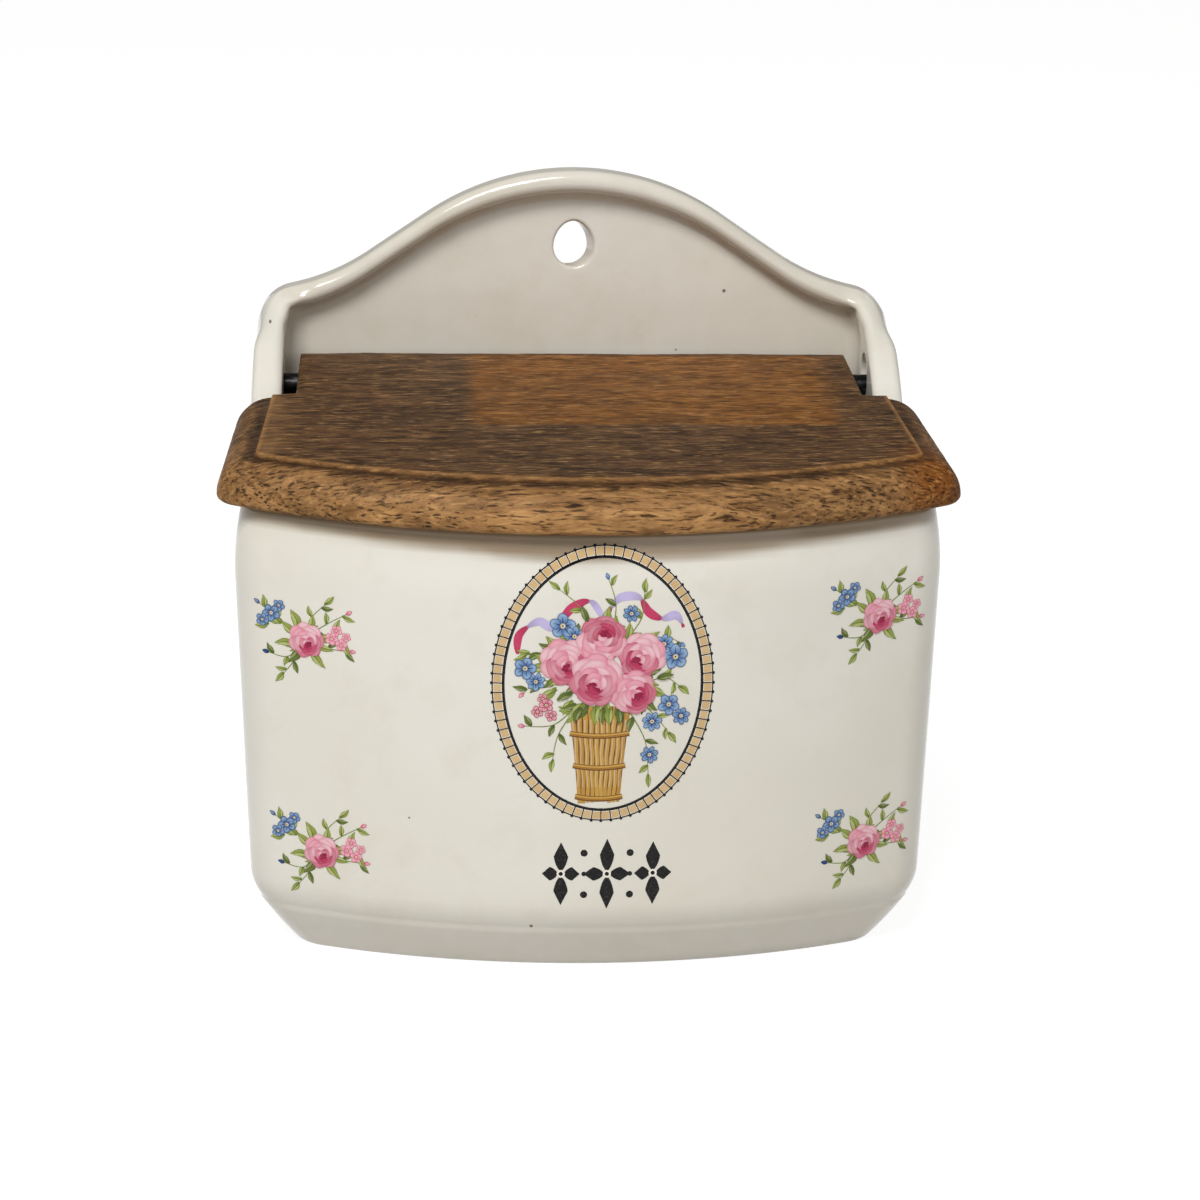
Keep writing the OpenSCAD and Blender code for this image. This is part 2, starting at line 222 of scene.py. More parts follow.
def skin_faces(rows, n):
    """Quads between rows of n points each, then a fan on the first and the last row."""
    faces = []
    for r in range(rows - 1):
        for i in range(n):
            a, b = r * n + i, r * n + (i + 1) % n
            faces.append((a, b, b + n, a + n))
    low, high, last = rows * n, rows * n + 1, (rows - 1) * n
    for i in range(n):
        faces.append((low, (i + 1) % n, i))
        faces.append((high, last + i, last + (i + 1) % n))
    return faces


def settle(obj):
    """Puts what the modifiers make into the mesh itself."""
    graph = bpy.context.evaluated_depsgraph_get()
    made = bpy.data.meshes.new_from_object(obj.evaluated_get(graph))
    obj.modifiers.clear()
    old = obj.data
    obj.data = made
    made.name = obj.name
    bpy.data.meshes.remove(old)


def cut(obj, tools):
    for tool in tools:
        face_outward(tool)
        bore = obj.modifiers.new("bore", "BOOLEAN")
        bore.operation = "DIFFERENCE"
        bore.solver = "EXACT"
        bore.object = tool
    settle(obj)
    for tool in tools:
        bpy.data.objects.remove(tool)


# ---------------------------------------------------------------- the body's skin, as in the part's source

BACK_N = 150
BACK_CORNER_N = 30
CHEEK_N = 36
SIDE_N = 12
CORNER_N = 22
FRONT_N = 100
BACK_WIDTH_SHARE = 0.81
CORNER_SHARE_START = 0.3

SLOPE_X = CROWN_R * math.sin(OGEE_ANGLE)
SLOPE_FALL = CROWN_R * (1 - math.cos(OGEE_ANGLE))
BROW_X = TOP_HALF_W - BROW_R * (1 - math.sin(BROW_ANGLE))
HOLLOW_X = BROW_X - HOLLOW_R * (math.sin(OGEE_ANGLE) - math.sin(BROW_ANGLE))
HOLLOW_FALL = SLOPE_FALL + (HOLLOW_X - SLOPE_X) * math.tan(OGEE_ANGLE)
BROW_FALL = HOLLOW_FALL + HOLLOW_R * (math.cos(BROW_ANGLE) - math.cos(OGEE_ANGLE))
BROW_Z = HINGE_H + BROW_RISE
FALL_STRETCH = (OVERALL_H - BROW_Z) / BROW_FALL


def arc_height(r, x):
    return np.sqrt(np.maximum(0, r * r - x * x))


def ogee_z(x):
    a = np.abs(x)
    hollow_mid = HOLLOW_X + HOLLOW_R * math.sin(OGEE_ANGLE)
    fall = np.where(
        a < SLOPE_X, CROWN_R - arc_height(CROWN_R, a),
        np.where(a < HOLLOW_X, SLOPE_FALL + (a - SLOPE_X) * math.tan(OGEE_ANGLE),
                 HOLLOW_FALL - HOLLOW_R * math.cos(OGEE_ANGLE) + arc_height(HOLLOW_R, a - hollow_mid)))
    off_brow = a - BROW_X + BROW_R * math.sin(BROW_ANGLE)
    brow = BROW_Z - BROW_R * math.cos(BROW_ANGLE) + arc_height(BROW_R, off_brow)
    return np.where(a < BROW_X, OVERALL_H - FALL_STRETCH * fall, brow)


BROW_TOP = float(ogee_z(CHEEK_IN))
BROW_END = BEAD_D - 2


def cheek_share(u):
    return np.maximum(0, (u - BROW_END) / (CHEEK_D - BROW_END))


def cheek_z(u):
    low, k = rim_z(CHEEK_D), cheek_share(u)
    height = low + (BROW_TOP - low) * np.sqrt(np.maximum(0, 1 - np.minimum(k, 1) ** CHEEK_FALL))
    return np.where(k >= 1, rim_z(u), np.maximum(rim_z(u), height))


def crest_z(x, u):
    brow = np.maximum(0, BROW_TOP - ogee_z(x))
    fade = 1 - smooth(cheek_share(u) / BROW_SHARE)
    return np.where(u <= BROW_END, ogee_z(x), np.maximum(rim_z(u), cheek_z(u) - brow * fade))


def corner_point(w, rb, back, along):
    to_arc = w * (1 - BACK_WIDTH_SHARE) - rb
    arc = rb * math.pi / 2
    a = (along - to_arc) / rb
    if along < to_arc:
        return w * BACK_WIDTH_SHARE + along, back
    if a < math.pi / 2:
        return w - rb + rb * math.sin(a), back + rb - rb * math.cos(a)
    return w, back + rb + along - to_arc - arc


def front_corner(w, d, rc, bow_r=BOW_R):
    """Centre of the bow, centre of a front corner, and the angle at which the two arcs meet."""
    bow_u = d - bow_r
    corner_u = bow_u + math.sqrt((bow_r - rc) ** 2 - (w - rc) ** 2)
    return bow_u, corner_u, math.atan2(corner_u - bow_u, w - rc)


def corner_arc(w, middle, rc, g, count):
    """A front corner, from after its first point at the side to where it meets the bow at angle g."""
    return [(w - rc + rc * math.cos(g * t), middle + rc * math.sin(g * t)) for t in steps(count)[1:]]


def plan_half(w, d, rc, rb, back):
    _, corner_u, g = front_corner(w, d, rc)
    length = w * (1 - BACK_WIDTH_SHARE) - rb + rb * math.pi / 2 + CHEEK_START - back - rb
    points = [corner_point(w, rb, back, length * k / (BACK_CORNER_N + 1))
              for k in range(1, BACK_CORNER_N + 1)]
    points += [(w, CHEEK_START + (CHEEK_D - CHEEK_START) * math.sin(a)) for a in quarter(CHEEK_N)]
    points += [(w, mix(CHEEK_D, corner_u, t)) for t in steps(SIDE_N)[1:]]
    return points + corner_arc(w, corner_u, rc, g, CORNER_N)


def plan(w, d, rc, rb, back):
    bow_u, _, g = front_corner(w, d, rc)
    half = plan_half(w, d, rc, rb, back)
    rear = [(w * BACK_WIDTH_SHARE * (2 * t - 1), back) for t in steps(BACK_N)]
    front = [(BOW_R * math.cos(a), bow_u + BOW_R * math.sin(a))
             for a in (g + (math.pi - 2 * g) * t for t in steps(FRONT_N)[1:-1])]
    return np.array(rear + half + front + [(-x, u) for x, u in reversed(half)])


def station_shares():
    corner = [float(smooth((k / (BACK_CORNER_N + 1) - CORNER_SHARE_START) / (1 - CORNER_SHARE_START)))
              for k in range(1, BACK_CORNER_N + 1)]
    half = corner + [1.0] * (CHEEK_N + 1 + SIDE_N + CORNER_N)
    return np.array([0.0] * (BACK_N + 1) + half + [1.0] * (FRONT_N - 1) + half[::-1])


def inner_r(r, t):
    return max(2.5, r - t)


SIDE_SHARE = station_shares()
BELT_PLAN = plan(BODY_W / 2, BODY_D, CORNER_R, BACK_CORNER_R, 0)
RIM_PLAN = plan(TOP_HALF_W, BODY_D - SHOULDER_IN, CORNER_R - SHOULDER_IN / 2, BACK_CORNER_R, 0)
LIP_PLAN = plan(CHEEK_IN, BODY_D - SHOULDER_IN - RIM_T, inner_r(CORNER_R, RIM_T), BEAD_CORNER_R, BEAD_D)
MOUTH_PLAN = plan(CHEEK_IN, BODY_D - SHOULDER_IN - RIM_T, inner_r(CORNER_R, RIM_T), INNER_BACK_R, PLATE_T)


def wall_inset(z):
    """How far the outer wall lies inside its drafted line at a height: foot edge, bevel and blend."""
    blend_top = BEVEL_H + BLEND_LEN
    blend_low = blend_top - BEVEL_BLEND_R * math.sin(BEVEL_ANGLE)
    if z >= blend_top:
        return 0.0
    if z >= blend_low:
        return BEVEL_BLEND_R * (1 - math.cos(math.asin((blend_top - z) / BEVEL_BLEND_R)))
    t = z / BEVEL_H
    edge = max(0.0, 1 - z / FOOT_EDGE_R)
    rounding = FOOT_EDGE_R * (1 - math.sqrt(1 - edge ** 2)) * 0.9
    return BEVEL_IN * (1 - t) - 4 * BEVEL_BULGE * t * (1 - t) + rounding


def draft_share(z):
    return 1 - min(1.0, max(0.0, (z - BEVEL_H) / (BELT_H - BEVEL_H)))


def outer_sizes(z):
    """Half width, depth and corner radius of the outer wall at a height up to the belt."""
    t, inset = draft_share(z), wall_inset(z)
    return (BODY_W / 2 - SIDE_DRAFT * t - inset, BODY_D - FRONT_DRAFT * t - inset * BEVEL_FRONT / BEVEL_IN,
            CORNER_R - inset / 3)


def inner_plan(z, inset):
    t = draft_share(z)
    blend_top = BEVEL_H + BLEND_LEN
    follow = max(0.0, BEVEL_IN * (blend_top - z) / blend_top) / 3
    return plan(BODY_W / 2 - WALL_T - SIDE_DRAFT * t - inset - follow,
                BODY_D - WALL_T - FRONT_DRAFT * t - inset - follow,
                max(3.0, inner_r(CORNER_R, WALL_T) - inset / 4), INNER_BACK_R, PLATE_T + inset)


def lip_edge(j, width, r):
    """Section of the rounded edge: share of the way across and drop, for j from 0 to 12."""
    k = j if j <= 6 else 12 - j
    if k <= 5:
        a = math.pi / 2 * k / 5
        across, drop = r * (1 - math.cos(a)) / width, r * (1 - math.sin(a))
    else:
        across, drop = mix(r / width, 0.5, k - 5), 0.0
    return (across if j <= 6 else 1 - across), drop


def lip_bead(j):
    """Section of the rolled rim and its cove: share across, share back under it and drop."""
    bead_r = BEAD_H / 2
    cove_start = (PLATE_T + COVE_R * (1 + math.cos(math.radians(110))),
                  BEAD_H + COVE_R * (1 - math.sin(math.radians(110))))
    if j <= 3:
        a = math.radians(30 * j)
        u, drop, under = BEAD_BACK_R * (1 - math.cos(a)), BEAD_BACK_R * (1 - math.sin(a)), False
    elif j <= 4:
        u, drop, under = mix(BEAD_BACK_R, BEAD_D - bead_r, j - 3), 0.0, False
    elif j <= 9:
        a = math.radians(90 - 32 * (j - 4))
        u, drop, under = BEAD_D - bead_r + bead_r * math.cos(a), bead_r * (1 - math.sin(a)), a < 0
    elif j <= 10:
        a = math.radians(-70)
        end = BEAD_D - bead_r + bead_r * math.cos(a), bead_r * (1 - math.sin(a))
        u, drop, under = mix(end[0], cove_start[0], j - 9), mix(end[1], cove_start[1], j - 9), True
    else:
        a = math.radians(110 + 35 * (j - 10))
        u, drop, under = PLATE_T + COVE_R * (1 + math.cos(a)), BEAD_H + COVE_R * (1 - math.sin(a)), True
    return (1.0, (BEAD_D - u) / (BEAD_D - PLATE_T), drop) if under else (u / BEAD_D, 0.0, drop)


RIM_LIKE_START = 36
RIM_LIKE_LEN = 14
LIP_STEPS = sorted({*(k / 3 for k in range(0, 37)), 4.5, 5.5})


def top_crest(points, share):
    return mix(ogee_z(points[:, 0]), crest_z(points[:, 0], points[:, 1]), share)


def lip_row(j):
    rim_like = smooth((RIM_PLAN[:, 1] - RIM_LIKE_START) / RIM_LIKE_LEN)
    width = np.linalg.norm(LIP_PLAN - RIM_PLAN, axis=1)
    r = mix(CHEEK_EDGE_R, RIM_EDGE_R, rim_like)
    edge = np.array([lip_edge(j, w, q) for w, q in zip(width, r)])
    bead = lip_bead(j)
    across = mix(bead[0], edge[:, 0], SIDE_SHARE)[:, None]
    back = mix(bead[1], 0.0, SIDE_SHARE)[:, None]
    drop = mix(bead[2], edge[:, 1], SIDE_SHARE)
    p = mix(mix(RIM_PLAN, LIP_PLAN, across), MOUTH_PLAN, back)
    return np.column_stack([p, top_crest(p, SIDE_SHARE) - drop])


def ring(points, z):
    return np.column_stack([points, np.full(len(points), float(z))])


def body_rows():
    foot = [0.0, 0.05, 0.15, 0.3, 0.5, 0.7, 1.1]
    bevel = [mix(1.6, BEVEL_H - 3.2, t) for t in steps(8)]
    blend = [mix(BEVEL_H - 2.6, BEVEL_H + BLEND_LEN, t) for t in steps(12)]
    wall = [mix(BEVEL_H + BLEND_LEN, BELT_H, t) for t in steps(20)[1:]]
    rows = [ring(plan(*outer_sizes(z), BACK_CORNER_R, 0), z) for z in foot + bevel + blend + wall]
    top = lip_row(0)
    for t in steps(10)[1:-1]:
        p = mix(BELT_PLAN, RIM_PLAN, t * t)
        rows.append(np.column_stack([p, mix(BELT_H, top[:, 2], t)]))
    rows += [lip_row(j) for j in LIP_STEPS]
    throat = rim_z(MOUTH_PLAN[:, 1]) - 4
    crest = top_crest(MOUTH_PLAN, SIDE_SHARE)
    under = np.maximum(crest - (BEAD_H + COVE_R + 1.4), throat + 1)
    rows += [np.column_stack([MOUTH_PLAN, mix(under, throat, t)]) for t in steps(6)]
    rows += [ring(inner_plan(z, 0), z) for z in (mix(BELT_H - 2, FLOOR_T + FLOOR_R, t) for t in steps(10))]
    for a in quarter(8)[1:]:
        z = FLOOR_T + FLOOR_R * (1 - math.sin(a))
        rows.append(ring(inner_plan(z, FLOOR_R * (1 - math.cos(a))), z))
    return rows


def round_bore(places, axis, length, edge):
    """A cutting tool: the outline of overlapping circles, pulled through, opening out at both faces.

    places are (a, b, r) in the plane across the axis; length is the wall there, edge the rounding.
    """
    mid = places[0][0], places[0][1]
    turns = 96

    def reach(angle, grow):
        best = 0.0
        for a, b, r in places:
            da, db, q = a - mid[0], b - mid[1], r + grow
            along = da * math.cos(angle) + db * math.sin(angle)
            off = q * q - (da * da + db * db - along * along)
            if off > 0:
                best = max(best, along + math.sqrt(off))
        return best

    half = length / 2
    section = [(-half - 1.0, edge * 2.2), (-half - 0.02, edge * 1.02)]
    section += [(-half + edge * (1 - math.cos(a)), edge * (1 - math.sin(a))) for a in quarter(6)]
    section += [(-z, grow) for z, grow in reversed(section)]
    verts = []
    for depth, grow in section:
        for k in range(turns):
            angle = 2 * math.pi * k / turns
            q = reach(angle, grow)
            a, b = mid[0] + q * math.cos(angle), mid[1] + q * math.sin(angle)
            verts.append((depth, a, b) if axis == "x" else (a, depth, b))
    count = len(section)
    centre = [(section[0][0], *mid), (section[-1][0], *mid)]
    verts += centre if axis == "x" else [(a, depth, b) for depth, a, b in centre]
    return verts, skin_faces(count, turns)


def bore_object(name, places, axis, middle, length, edge, lean=0.0):
    """The cutting tool in its place; with lean its far end is shifted to the left by so much."""
    verts, faces = round_bore(places, axis, length, edge)
    if axis == "x":
        moved = [(middle + x, u, z) for x, u, z in verts]
    else:
        moved = [(x + lean * (u / length - 0.5), middle + u, z) for x, u, z in verts]
    return new_object(name, to_frame(moved), faces)


def make_body():
    rows = body_rows()
    n = len(rows[0])
    hub_u = BODY_D / 2
    points = np.concatenate(rows + [np.array([[0, hub_u, rows[0][0][2]], [0, hub_u, rows[-1][0][2]]])])
    body = new_object("glazed_body", to_frame(points), skin_faces(len(rows), n))
    face_outward(body)
    hang_z = OVERALL_H - HANG_DOWN
    hang = [(0, hang_z + HANG_NOTCH_UP * t, mix(HANG_R, HANG_NOTCH_R, t ** 1.8)) for t in steps(12)]
    tools = [bore_object("hang_tool", hang, "u", PLATE_T / 2, PLATE_T, HANG_EDGE_R, HANG_LEAN)]
    for side in (-1, 1):
        middle = side * (TOP_HALF_W + CHEEK_IN) / 2
        places = [(HINGE_D, CHEEK_HOLE_H, CHEEK_HOLE_R)]
        tools.append(bore_object(f"cheek_tool_{side}", places, "x", middle, CHEEK_T, CHEEK_HOLE_EDGE_R))
    cut(body, tools)
    return body


# ---------------------------------------------------------------- the lid

LID_SIDE_N = 40
NOTCH_N = 12
TONGUE_N = 26
LID_CORNER_N = 24
LID_FRONT_HALF_N = 55
TAIL_N = 80
# Rings of the raised field, so that its colours change smoothly across it
FIELD_RINGS = 64


def line(a, b, count):
    return [(mix(a[0], b[0], t), mix(a[1], b[1], t)) for t in steps(count)[1:]]


def lid_half(inset, rear, tongue_inset):
    """Half of the lid's outline in its own frame, [x, v], from the tail to the middle of the front."""
    w, d = LID_W / 2 - inset, LID_V - inset
    rc = max(1.5, LID_CORNER_R - inset / 2)
    bow_v, corner_v, g = front_corner(w, d, rc, LID_BOW_R)
    back_w = w - LID_FLARE
    tongue = TONGUE_W - tongue_inset
    wing_v = NOTCH_V + NOTCH_SLANT * (back_w - TONGUE_W) / (LID_W / 2 - TONGUE_W) + tongue_inset
    points = [(tongue, rear - LID_TAIL)]
    points += line(points[-1], (tongue, NOTCH_V + tongue_inset), TONGUE_N)
    points += line(points[-1], (back_w, wing_v), NOTCH_N)
    points += line(points[-1], (w, corner_v), LID_SIDE_N)
    points += corner_arc(w, corner_v, rc, g, LID_CORNER_N)
    points += [(LID_BOW_R * math.cos(a), bow_v + LID_BOW_R * math.sin(a))
               for a in (mix(g, math.pi / 2, t) for t in steps(LID_FRONT_HALF_N)[1:])]
    return points


def lid_outline(inset, rear, tongue_inset):
    half = lid_half(inset, rear, tongue_inset)
    tail = [(-half[0][0] + 2 * half[0][0] * t, half[0][1]) for t in steps(TAIL_N)[1:-1]]
    return np.array(tail + half + [(-x, v) for x, v in reversed(half[:-1])])


def lid_sections():
    """[height, inset, rear inset, inset of the tongue's sides] from the underside to the raised field."""
    low = -LID_T / 2
    sections = []
    for a in quarter(8):
        lift, inset = LOWER_EDGE_R * (1 - math.cos(a)), LOWER_EDGE_R * (1 - math.sin(a))
        sections.append((low + lift, inset, inset / 3, inset / 4))
    top = low + LOWER_EDGE_R + MOULD_H
    for a in quarter(26)[1:]:
        height = low + LOWER_EDGE_R + MOULD_H * math.sin(a)
        rear = TAIL_EDGE_R * (1 - math.cos(max(0.0, a - 1.1)))
        sections.append((height, MOULD_W * (1 - math.cos(a)), rear, 0.0))
    # The step up to the raised field, then its rounded arris in the last third
    field = LID_T / 2
    for t, a in zip(steps(6), quarter(6)):
        if t < 0.67:
            height = mix(top, field - ARRIS_R, min(1.0, t * 1.5))
        else:
            height = field - ARRIS_R * (1 - math.sin(a))
        share = (height - top) / (field - top)
        inset = MOULD_W + 0.1 + ARRIS_R * (1 - math.cos(a)) * t
        sections.append((height, inset, 0.15 + TAIL_EDGE_R * share ** 2, TONGUE_EDGE_IN * share ** 2))
    for back in (1.0, 3.0, 8.0):
        sections.append((field, MOULD_W + 0.45 + back, TAIL_EDGE_R + 0.2 + back, TONGUE_EDGE_IN + back))
    return sections


def lid_place(points):
    """From the lid's own frame, [x, v, height], to the closed lid's place as [x, u, z]."""
    x, v, h = points[:, 0], points[:, 1], points[:, 2]
    c, s = math.cos(LID_TILT), math.sin(LID_TILT)
    return np.column_stack([x, HINGE_D + v * c + h * s, HINGE_H - v * s + h * c])


def make_lid():
    """The lid's mesh, and how far each of its points is from the lid's outline."""
    wear = Waves(11, 34)
    fine = Waves(12, 7)
    rows = []
    sections = lid_sections()
    for height, inset, rear, tongue_inset in sections:
        points = lid_outline(inset, rear, tongue_inset)
        level = np.full(len(points), height)
        # Handling has worn the arris and the step more in some places than in others
        near_arris = math.exp(-((height - LID_T / 2) / 0.5) ** 2) * (1 if inset < MOULD_W + 0.5 else 0)
        near_step = math.exp(-((height - LID_T / 2 + FIELD_STEP) / 0.5) ** 2)
        worn = 0.16 * (1 + wear(points[:, 0], points[:, 1])) + 0.08 * fine(points[:, 0], points[:, 1])
        step_wear = near_step * 0.10 * wear(points[:, 0] + 40, points[:, 1])
        level = level - near_arris * np.clip(worn, 0, 0.4) + step_wear
        centre = np.array([0, (NOTCH_V + LID_V) / 2])
        toward = centre - points
        toward /= np.linalg.norm(toward, axis=1)[:, None]
        beside = 0 if abs(height) > 4.9 else 1
        dent = 0.06 * (1 + fine(points[:, 0] * 1.3, points[:, 1] + height)) * beside
        points = points + toward * np.clip(dent, 0, 0.15)[:, None]
        rows.append(np.column_stack([points, level]))
    n = len(rows[0])
    hub_v = (NOTCH_V + LID_V) / 2
    hubs = np.array([[0, hub_v, -LID_T / 2], [0, hub_v, LID_T / 2]])
    insets = [inset for _, inset, _, _ in sections]
    for k in range(1, FIELD_RINGS):
        rows.append(mix(rows[len(sections) - 1], hubs[1], k / FIELD_RINGS))
        insets.append(insets[-1] + 0.5)
    points = lid_place(np.concatenate(rows + [hubs]))
    lid = new_object("beech_lid", to_frame(points), skin_faces(len(rows), n))
    face_outward(lid)
    return lid, np.append(np.repeat(insets, n), (0, insets[-1]))


# ---------------------------------------------------------------- hinge pins

def make_pin(name, side):
    """A turned pin with domed ends and the faint rings that the tool left."""
    inner = TONGUE_W - PIN_IN_LID
    length = TOP_HALF_W - PIN_RECESS - inner
    dome = [(PIN_DOME * (1 - math.cos(a)), (PIN_R - PIN_DOME) + PIN_DOME * math.sin(a)) for a in quarter(8)]
    rings = [(mix(PIN_DOME, length - PIN_DOME, t), PIN_R - PIN_RING * (k % 2))
             for k, t in enumerate(steps(44)[1:-1])]
    profile = dome + rings + [(length - along, r) for along, r in reversed(dome)]
    turns = 72
    verts = []
    for along, r in profile:
        for k in range(turns):
            a = 2 * math.pi * k / turns
            verts.append((side * (inner + along), HINGE_D + r * math.cos(a), HINGE_H + r * math.sin(a)))
    verts += [(side * inner, HINGE_D, HINGE_H), (side * (inner + length), HINGE_D, HINGE_H)]
    pin = new_object(name, to_frame(verts), skin_faces(len(profile), turns))
    face_outward(pin)
    return pin


body = make_body()
body.data.set_sharp_from_angle(angle=math.radians(50))
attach(body, "body")
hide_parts("ceramic_body")

lid, lid_inset = make_lid()
lid.data.set_sharp_from_angle(angle=math.radians(42))
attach(lid, "lid")
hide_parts("wooden_lid")

PINS = (("pin_left", "left_hinge_pin", -1), ("pin_right", "right_hinge_pin", 1))
for pin_name, node_name, pin_side in PINS:
    pin = make_pin(pin_name, pin_side)
    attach(pin, "lid")
    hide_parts(node_name)


# ---------------------------------------------------------------- camera, lights, floor

CAMERA_X = -37.17
CAMERA_U = 792.86
CAMERA_Z = 269.99
CAMERA_YAW = math.radians(-3.22)
CAMERA_PITCH = math.radians(15.48)
CAMERA_ROLL = math.radians(0.80)
FOCAL_PX = 3451.65
PHOTO_PX = 1200
SENSOR = 36


def make_camera():
    data = bpy.data.cameras.new("camera")
    camera = bpy.data.objects.new("camera", data)
    bpy.context.scene.collection.objects.link(camera)
    bpy.context.scene.camera = camera
    data.sensor_fit = "HORIZONTAL"
    data.sensor_width = SENSOR
    data.lens = FOCAL_PX / PHOTO_PX * SENSOR
    data.clip_start, data.clip_end = 0.05, 50
    level = math.cos(CAMERA_PITCH)
    ahead = Vector((math.sin(-CAMERA_YAW) * level, math.cos(CAMERA_YAW) * level, -math.sin(CAMERA_PITCH)))
    right = ahead.cross(Vector((0, 0, 1))).normalized()
    up = right.cross(ahead)
    c, s = math.cos(CAMERA_ROLL), math.sin(CAMERA_ROLL)
    right, up = c * right + s * up, -s * right + c * up
    turn = Matrix((right, up, -ahead)).transposed()
    place = Vector(to_frame([CAMERA_X, CAMERA_U, CAMERA_Z]))
    camera.matrix_world = Matrix.Translation(place) @ turn.to_4x4()


def area_light(name, place, target, size, power):
    data = bpy.data.lights.new(name, "AREA")
    data.shape = "RECTANGLE"
    data.size, data.size_y = size
    data.energy = power
    lamp = bpy.data.objects.new(name, data)
    bpy.context.scene.collection.objects.link(lamp)
    lamp.location = place
    lamp.rotation_mode = "QUATERNION"
    lamp.rotation_quaternion = (Vector(target) - Vector(place)).to_track_quat("-Z", "Y")


class Nodes:
    """Short names for building the nodes of a material or of the world."""

    def __init__(self, owner, output="OutputMaterial"):
        owner.use_nodes = True
        self.tree = owner.node_tree
        self.tree.nodes.clear()
        self.out = self.tree.nodes.new("ShaderNode" + output)

    def add(self, kind, inputs=None, **settings):
        node = self.tree.nodes.new("ShaderNode" + kind)
        for key, value in settings.items():
            setattr(node, key, value)
        for key, value in (inputs or {}).items():
            socket = node.inputs[key]
            if isinstance(value, bpy.types.NodeSocket):
                self.tree.links.new(value, socket)
            else:
                socket.default_value = (*value, 1) if socket.type == "RGBA" else value
        return node

    def finish(self, surface):
        self.tree.links.new(surface, self.out.inputs[0])

    def mark(self, name):
        """What was painted on the mesh's points under this name."""
        return self.add("Attribute", attribute_name=name).outputs["Fac"]

    def grey_ramp(self, value, low, high, out_low=0.0, out_high=1.0):
        return self.add("MapRange", {"Value": value, "From Min": low, "From Max": high, "To Min": out_low,
                                     "To Max": out_high}, clamp=True).outputs[0]

    def maths(self, operation, a, b):
        return self.add("Math", {0: a, 1: b}, operation=operation).outputs[0]

    def vectors(self, operation, a, b):
        return self.add("VectorMath", {0: a, 1: b}, operation=operation).outputs[0]

    def blend(self, a, b, factor):
        # The sockets 6, 7 and 2 are the mix node's two colours and its mixed colour
        return self.add("Mix", {0: factor, 6: a, 7: b}, data_type="RGBA", clamp_factor=True).outputs[2]

    def noise(self, vector, scale, detail=4.0, roughness=0.55, distortion=0.0):
        return self.add("TexNoise", {"Vector": vector, "Scale": scale, "Detail": detail,
                                     "Roughness": roughness, "Distortion": distortion}).outputs[0]

    def mapped(self, vector, scale, place=(0, 0, 0)):
        return self.add("Mapping", {"Vector": vector, "Scale": scale, "Location": place}).outputs[0]

    def bump(self, height, strength, distance):
        return self.add("Bump", {"Height": height, "Strength": strength, "Distance": distance}).outputs[0]

    def principled(self, colour, roughness, bump, **more):
        """Ends the material with a principled surface; more holds sockets by name, with _ for a space."""
        inputs = {"Base Color": colour, "Roughness": roughness, "Normal": bump}
        inputs.update({key.replace("_", " "): value for key, value in more.items()})
        self.finish(self.add("BsdfPrincipled", inputs).outputs[0])


def rgb(*levels):
    """A colour written as it looks, red, green and blue from 0 to 255, as linear light."""
    shares = [level / 255 for level in levels]
    return tuple(c / 12.92 if c <= 0.04045 else ((c + 0.055) / 1.055) ** 2.4 for c in shares)


# Pits in the glaze that can be seen in the photograph, as [x, z, radius]
SPECKS = ((34.9, 125.9, 0.42), (-12.5, 11.0, 0.40), (-69.5, 120.5, 0.3),
          (24.0, 112.0, 0.22), (-38.0, 34.0, 0.22))


def glaze_material():
    material = bpy.data.materials.new("ivory_glaze")
    n = Nodes(material)
    where = n.add("TexCoord").outputs["Object"]
    cloud = n.noise(where, 14, 3, 0.5)
    mottle = n.noise(where, 90, 4, 0.6)
    speck = n.add("TexVoronoi", {"Vector": where, "Scale": 55.0}, feature="F1").outputs["Distance"]
    base = n.blend(rgb(238, 234, 223), rgb(229, 224, 209), n.grey_ramp(cloud, 0.35, 0.68))
    base = n.blend(base, rgb(222, 215, 198), n.grey_ramp(mottle, 0.52, 0.78, 0, 0.45))
    cover = n.grey_ramp(n.noise(where, 130, 5, 0.65), 0.25, 0.6, 0.55, 1.0)
    # Brown painted shade in the cove and the plate's corners, with brown low on the foot, in the hole and
    # over the plate
    stained_and_shaded = n.maths("MULTIPLY", n.mark("stain"), cover)
    base = n.blend(base, rgb(150, 118, 84), stained_and_shaded)
    # Painted shadow of the lid, with grime in it, in the band just below its overhang
    base = n.blend(base, rgb(146, 124, 95), n.maths("MULTIPLY", n.mark("shade"), 0.9))
    pore = n.grey_ramp(speck, 0.012, 0.03, 1.0, 0.0)
    pore_keep = n.grey_ramp(n.noise(where, 20, 0), 0.60, 0.66)
    base = n.blend(base, rgb(92, 66, 44), n.maths("MULTIPLY", pore, pore_keep))
    seen = n.vectors("MULTIPLY", where, (1, 0, 1))
    for x, z, r in SPECKS:
        apart = n.add("VectorMath", {0: seen, 1: (x * MM, 0, z * MM)}, operation="DISTANCE")
        off = apart.outputs["Value"]
        base = n.blend(base, rgb(70, 48, 30), n.grey_ramp(off, 0.7 * r * MM, 1.2 * r * MM, 0.85, 0.0))
    foot = n.mark("bare")
    base = n.blend(base, rgb(214, 198, 172), foot)
    ripple = n.noise(where, 26, 2, 0.4)
    orange_peel = n.noise(where, 420, 2, 0.5)
    height = n.maths("ADD", n.maths("MULTIPLY", ripple, 0.9), n.maths("MULTIPLY", orange_peel, 0.05))
    rough = n.maths("ADD", n.grey_ramp(mottle, 0.3, 0.7, 0.10, 0.17), n.maths("MULTIPLY", foot, 0.7))
    n.principled(base, rough, n.bump(height, 0.35, 0.0012), IOR=1.5)
    return material


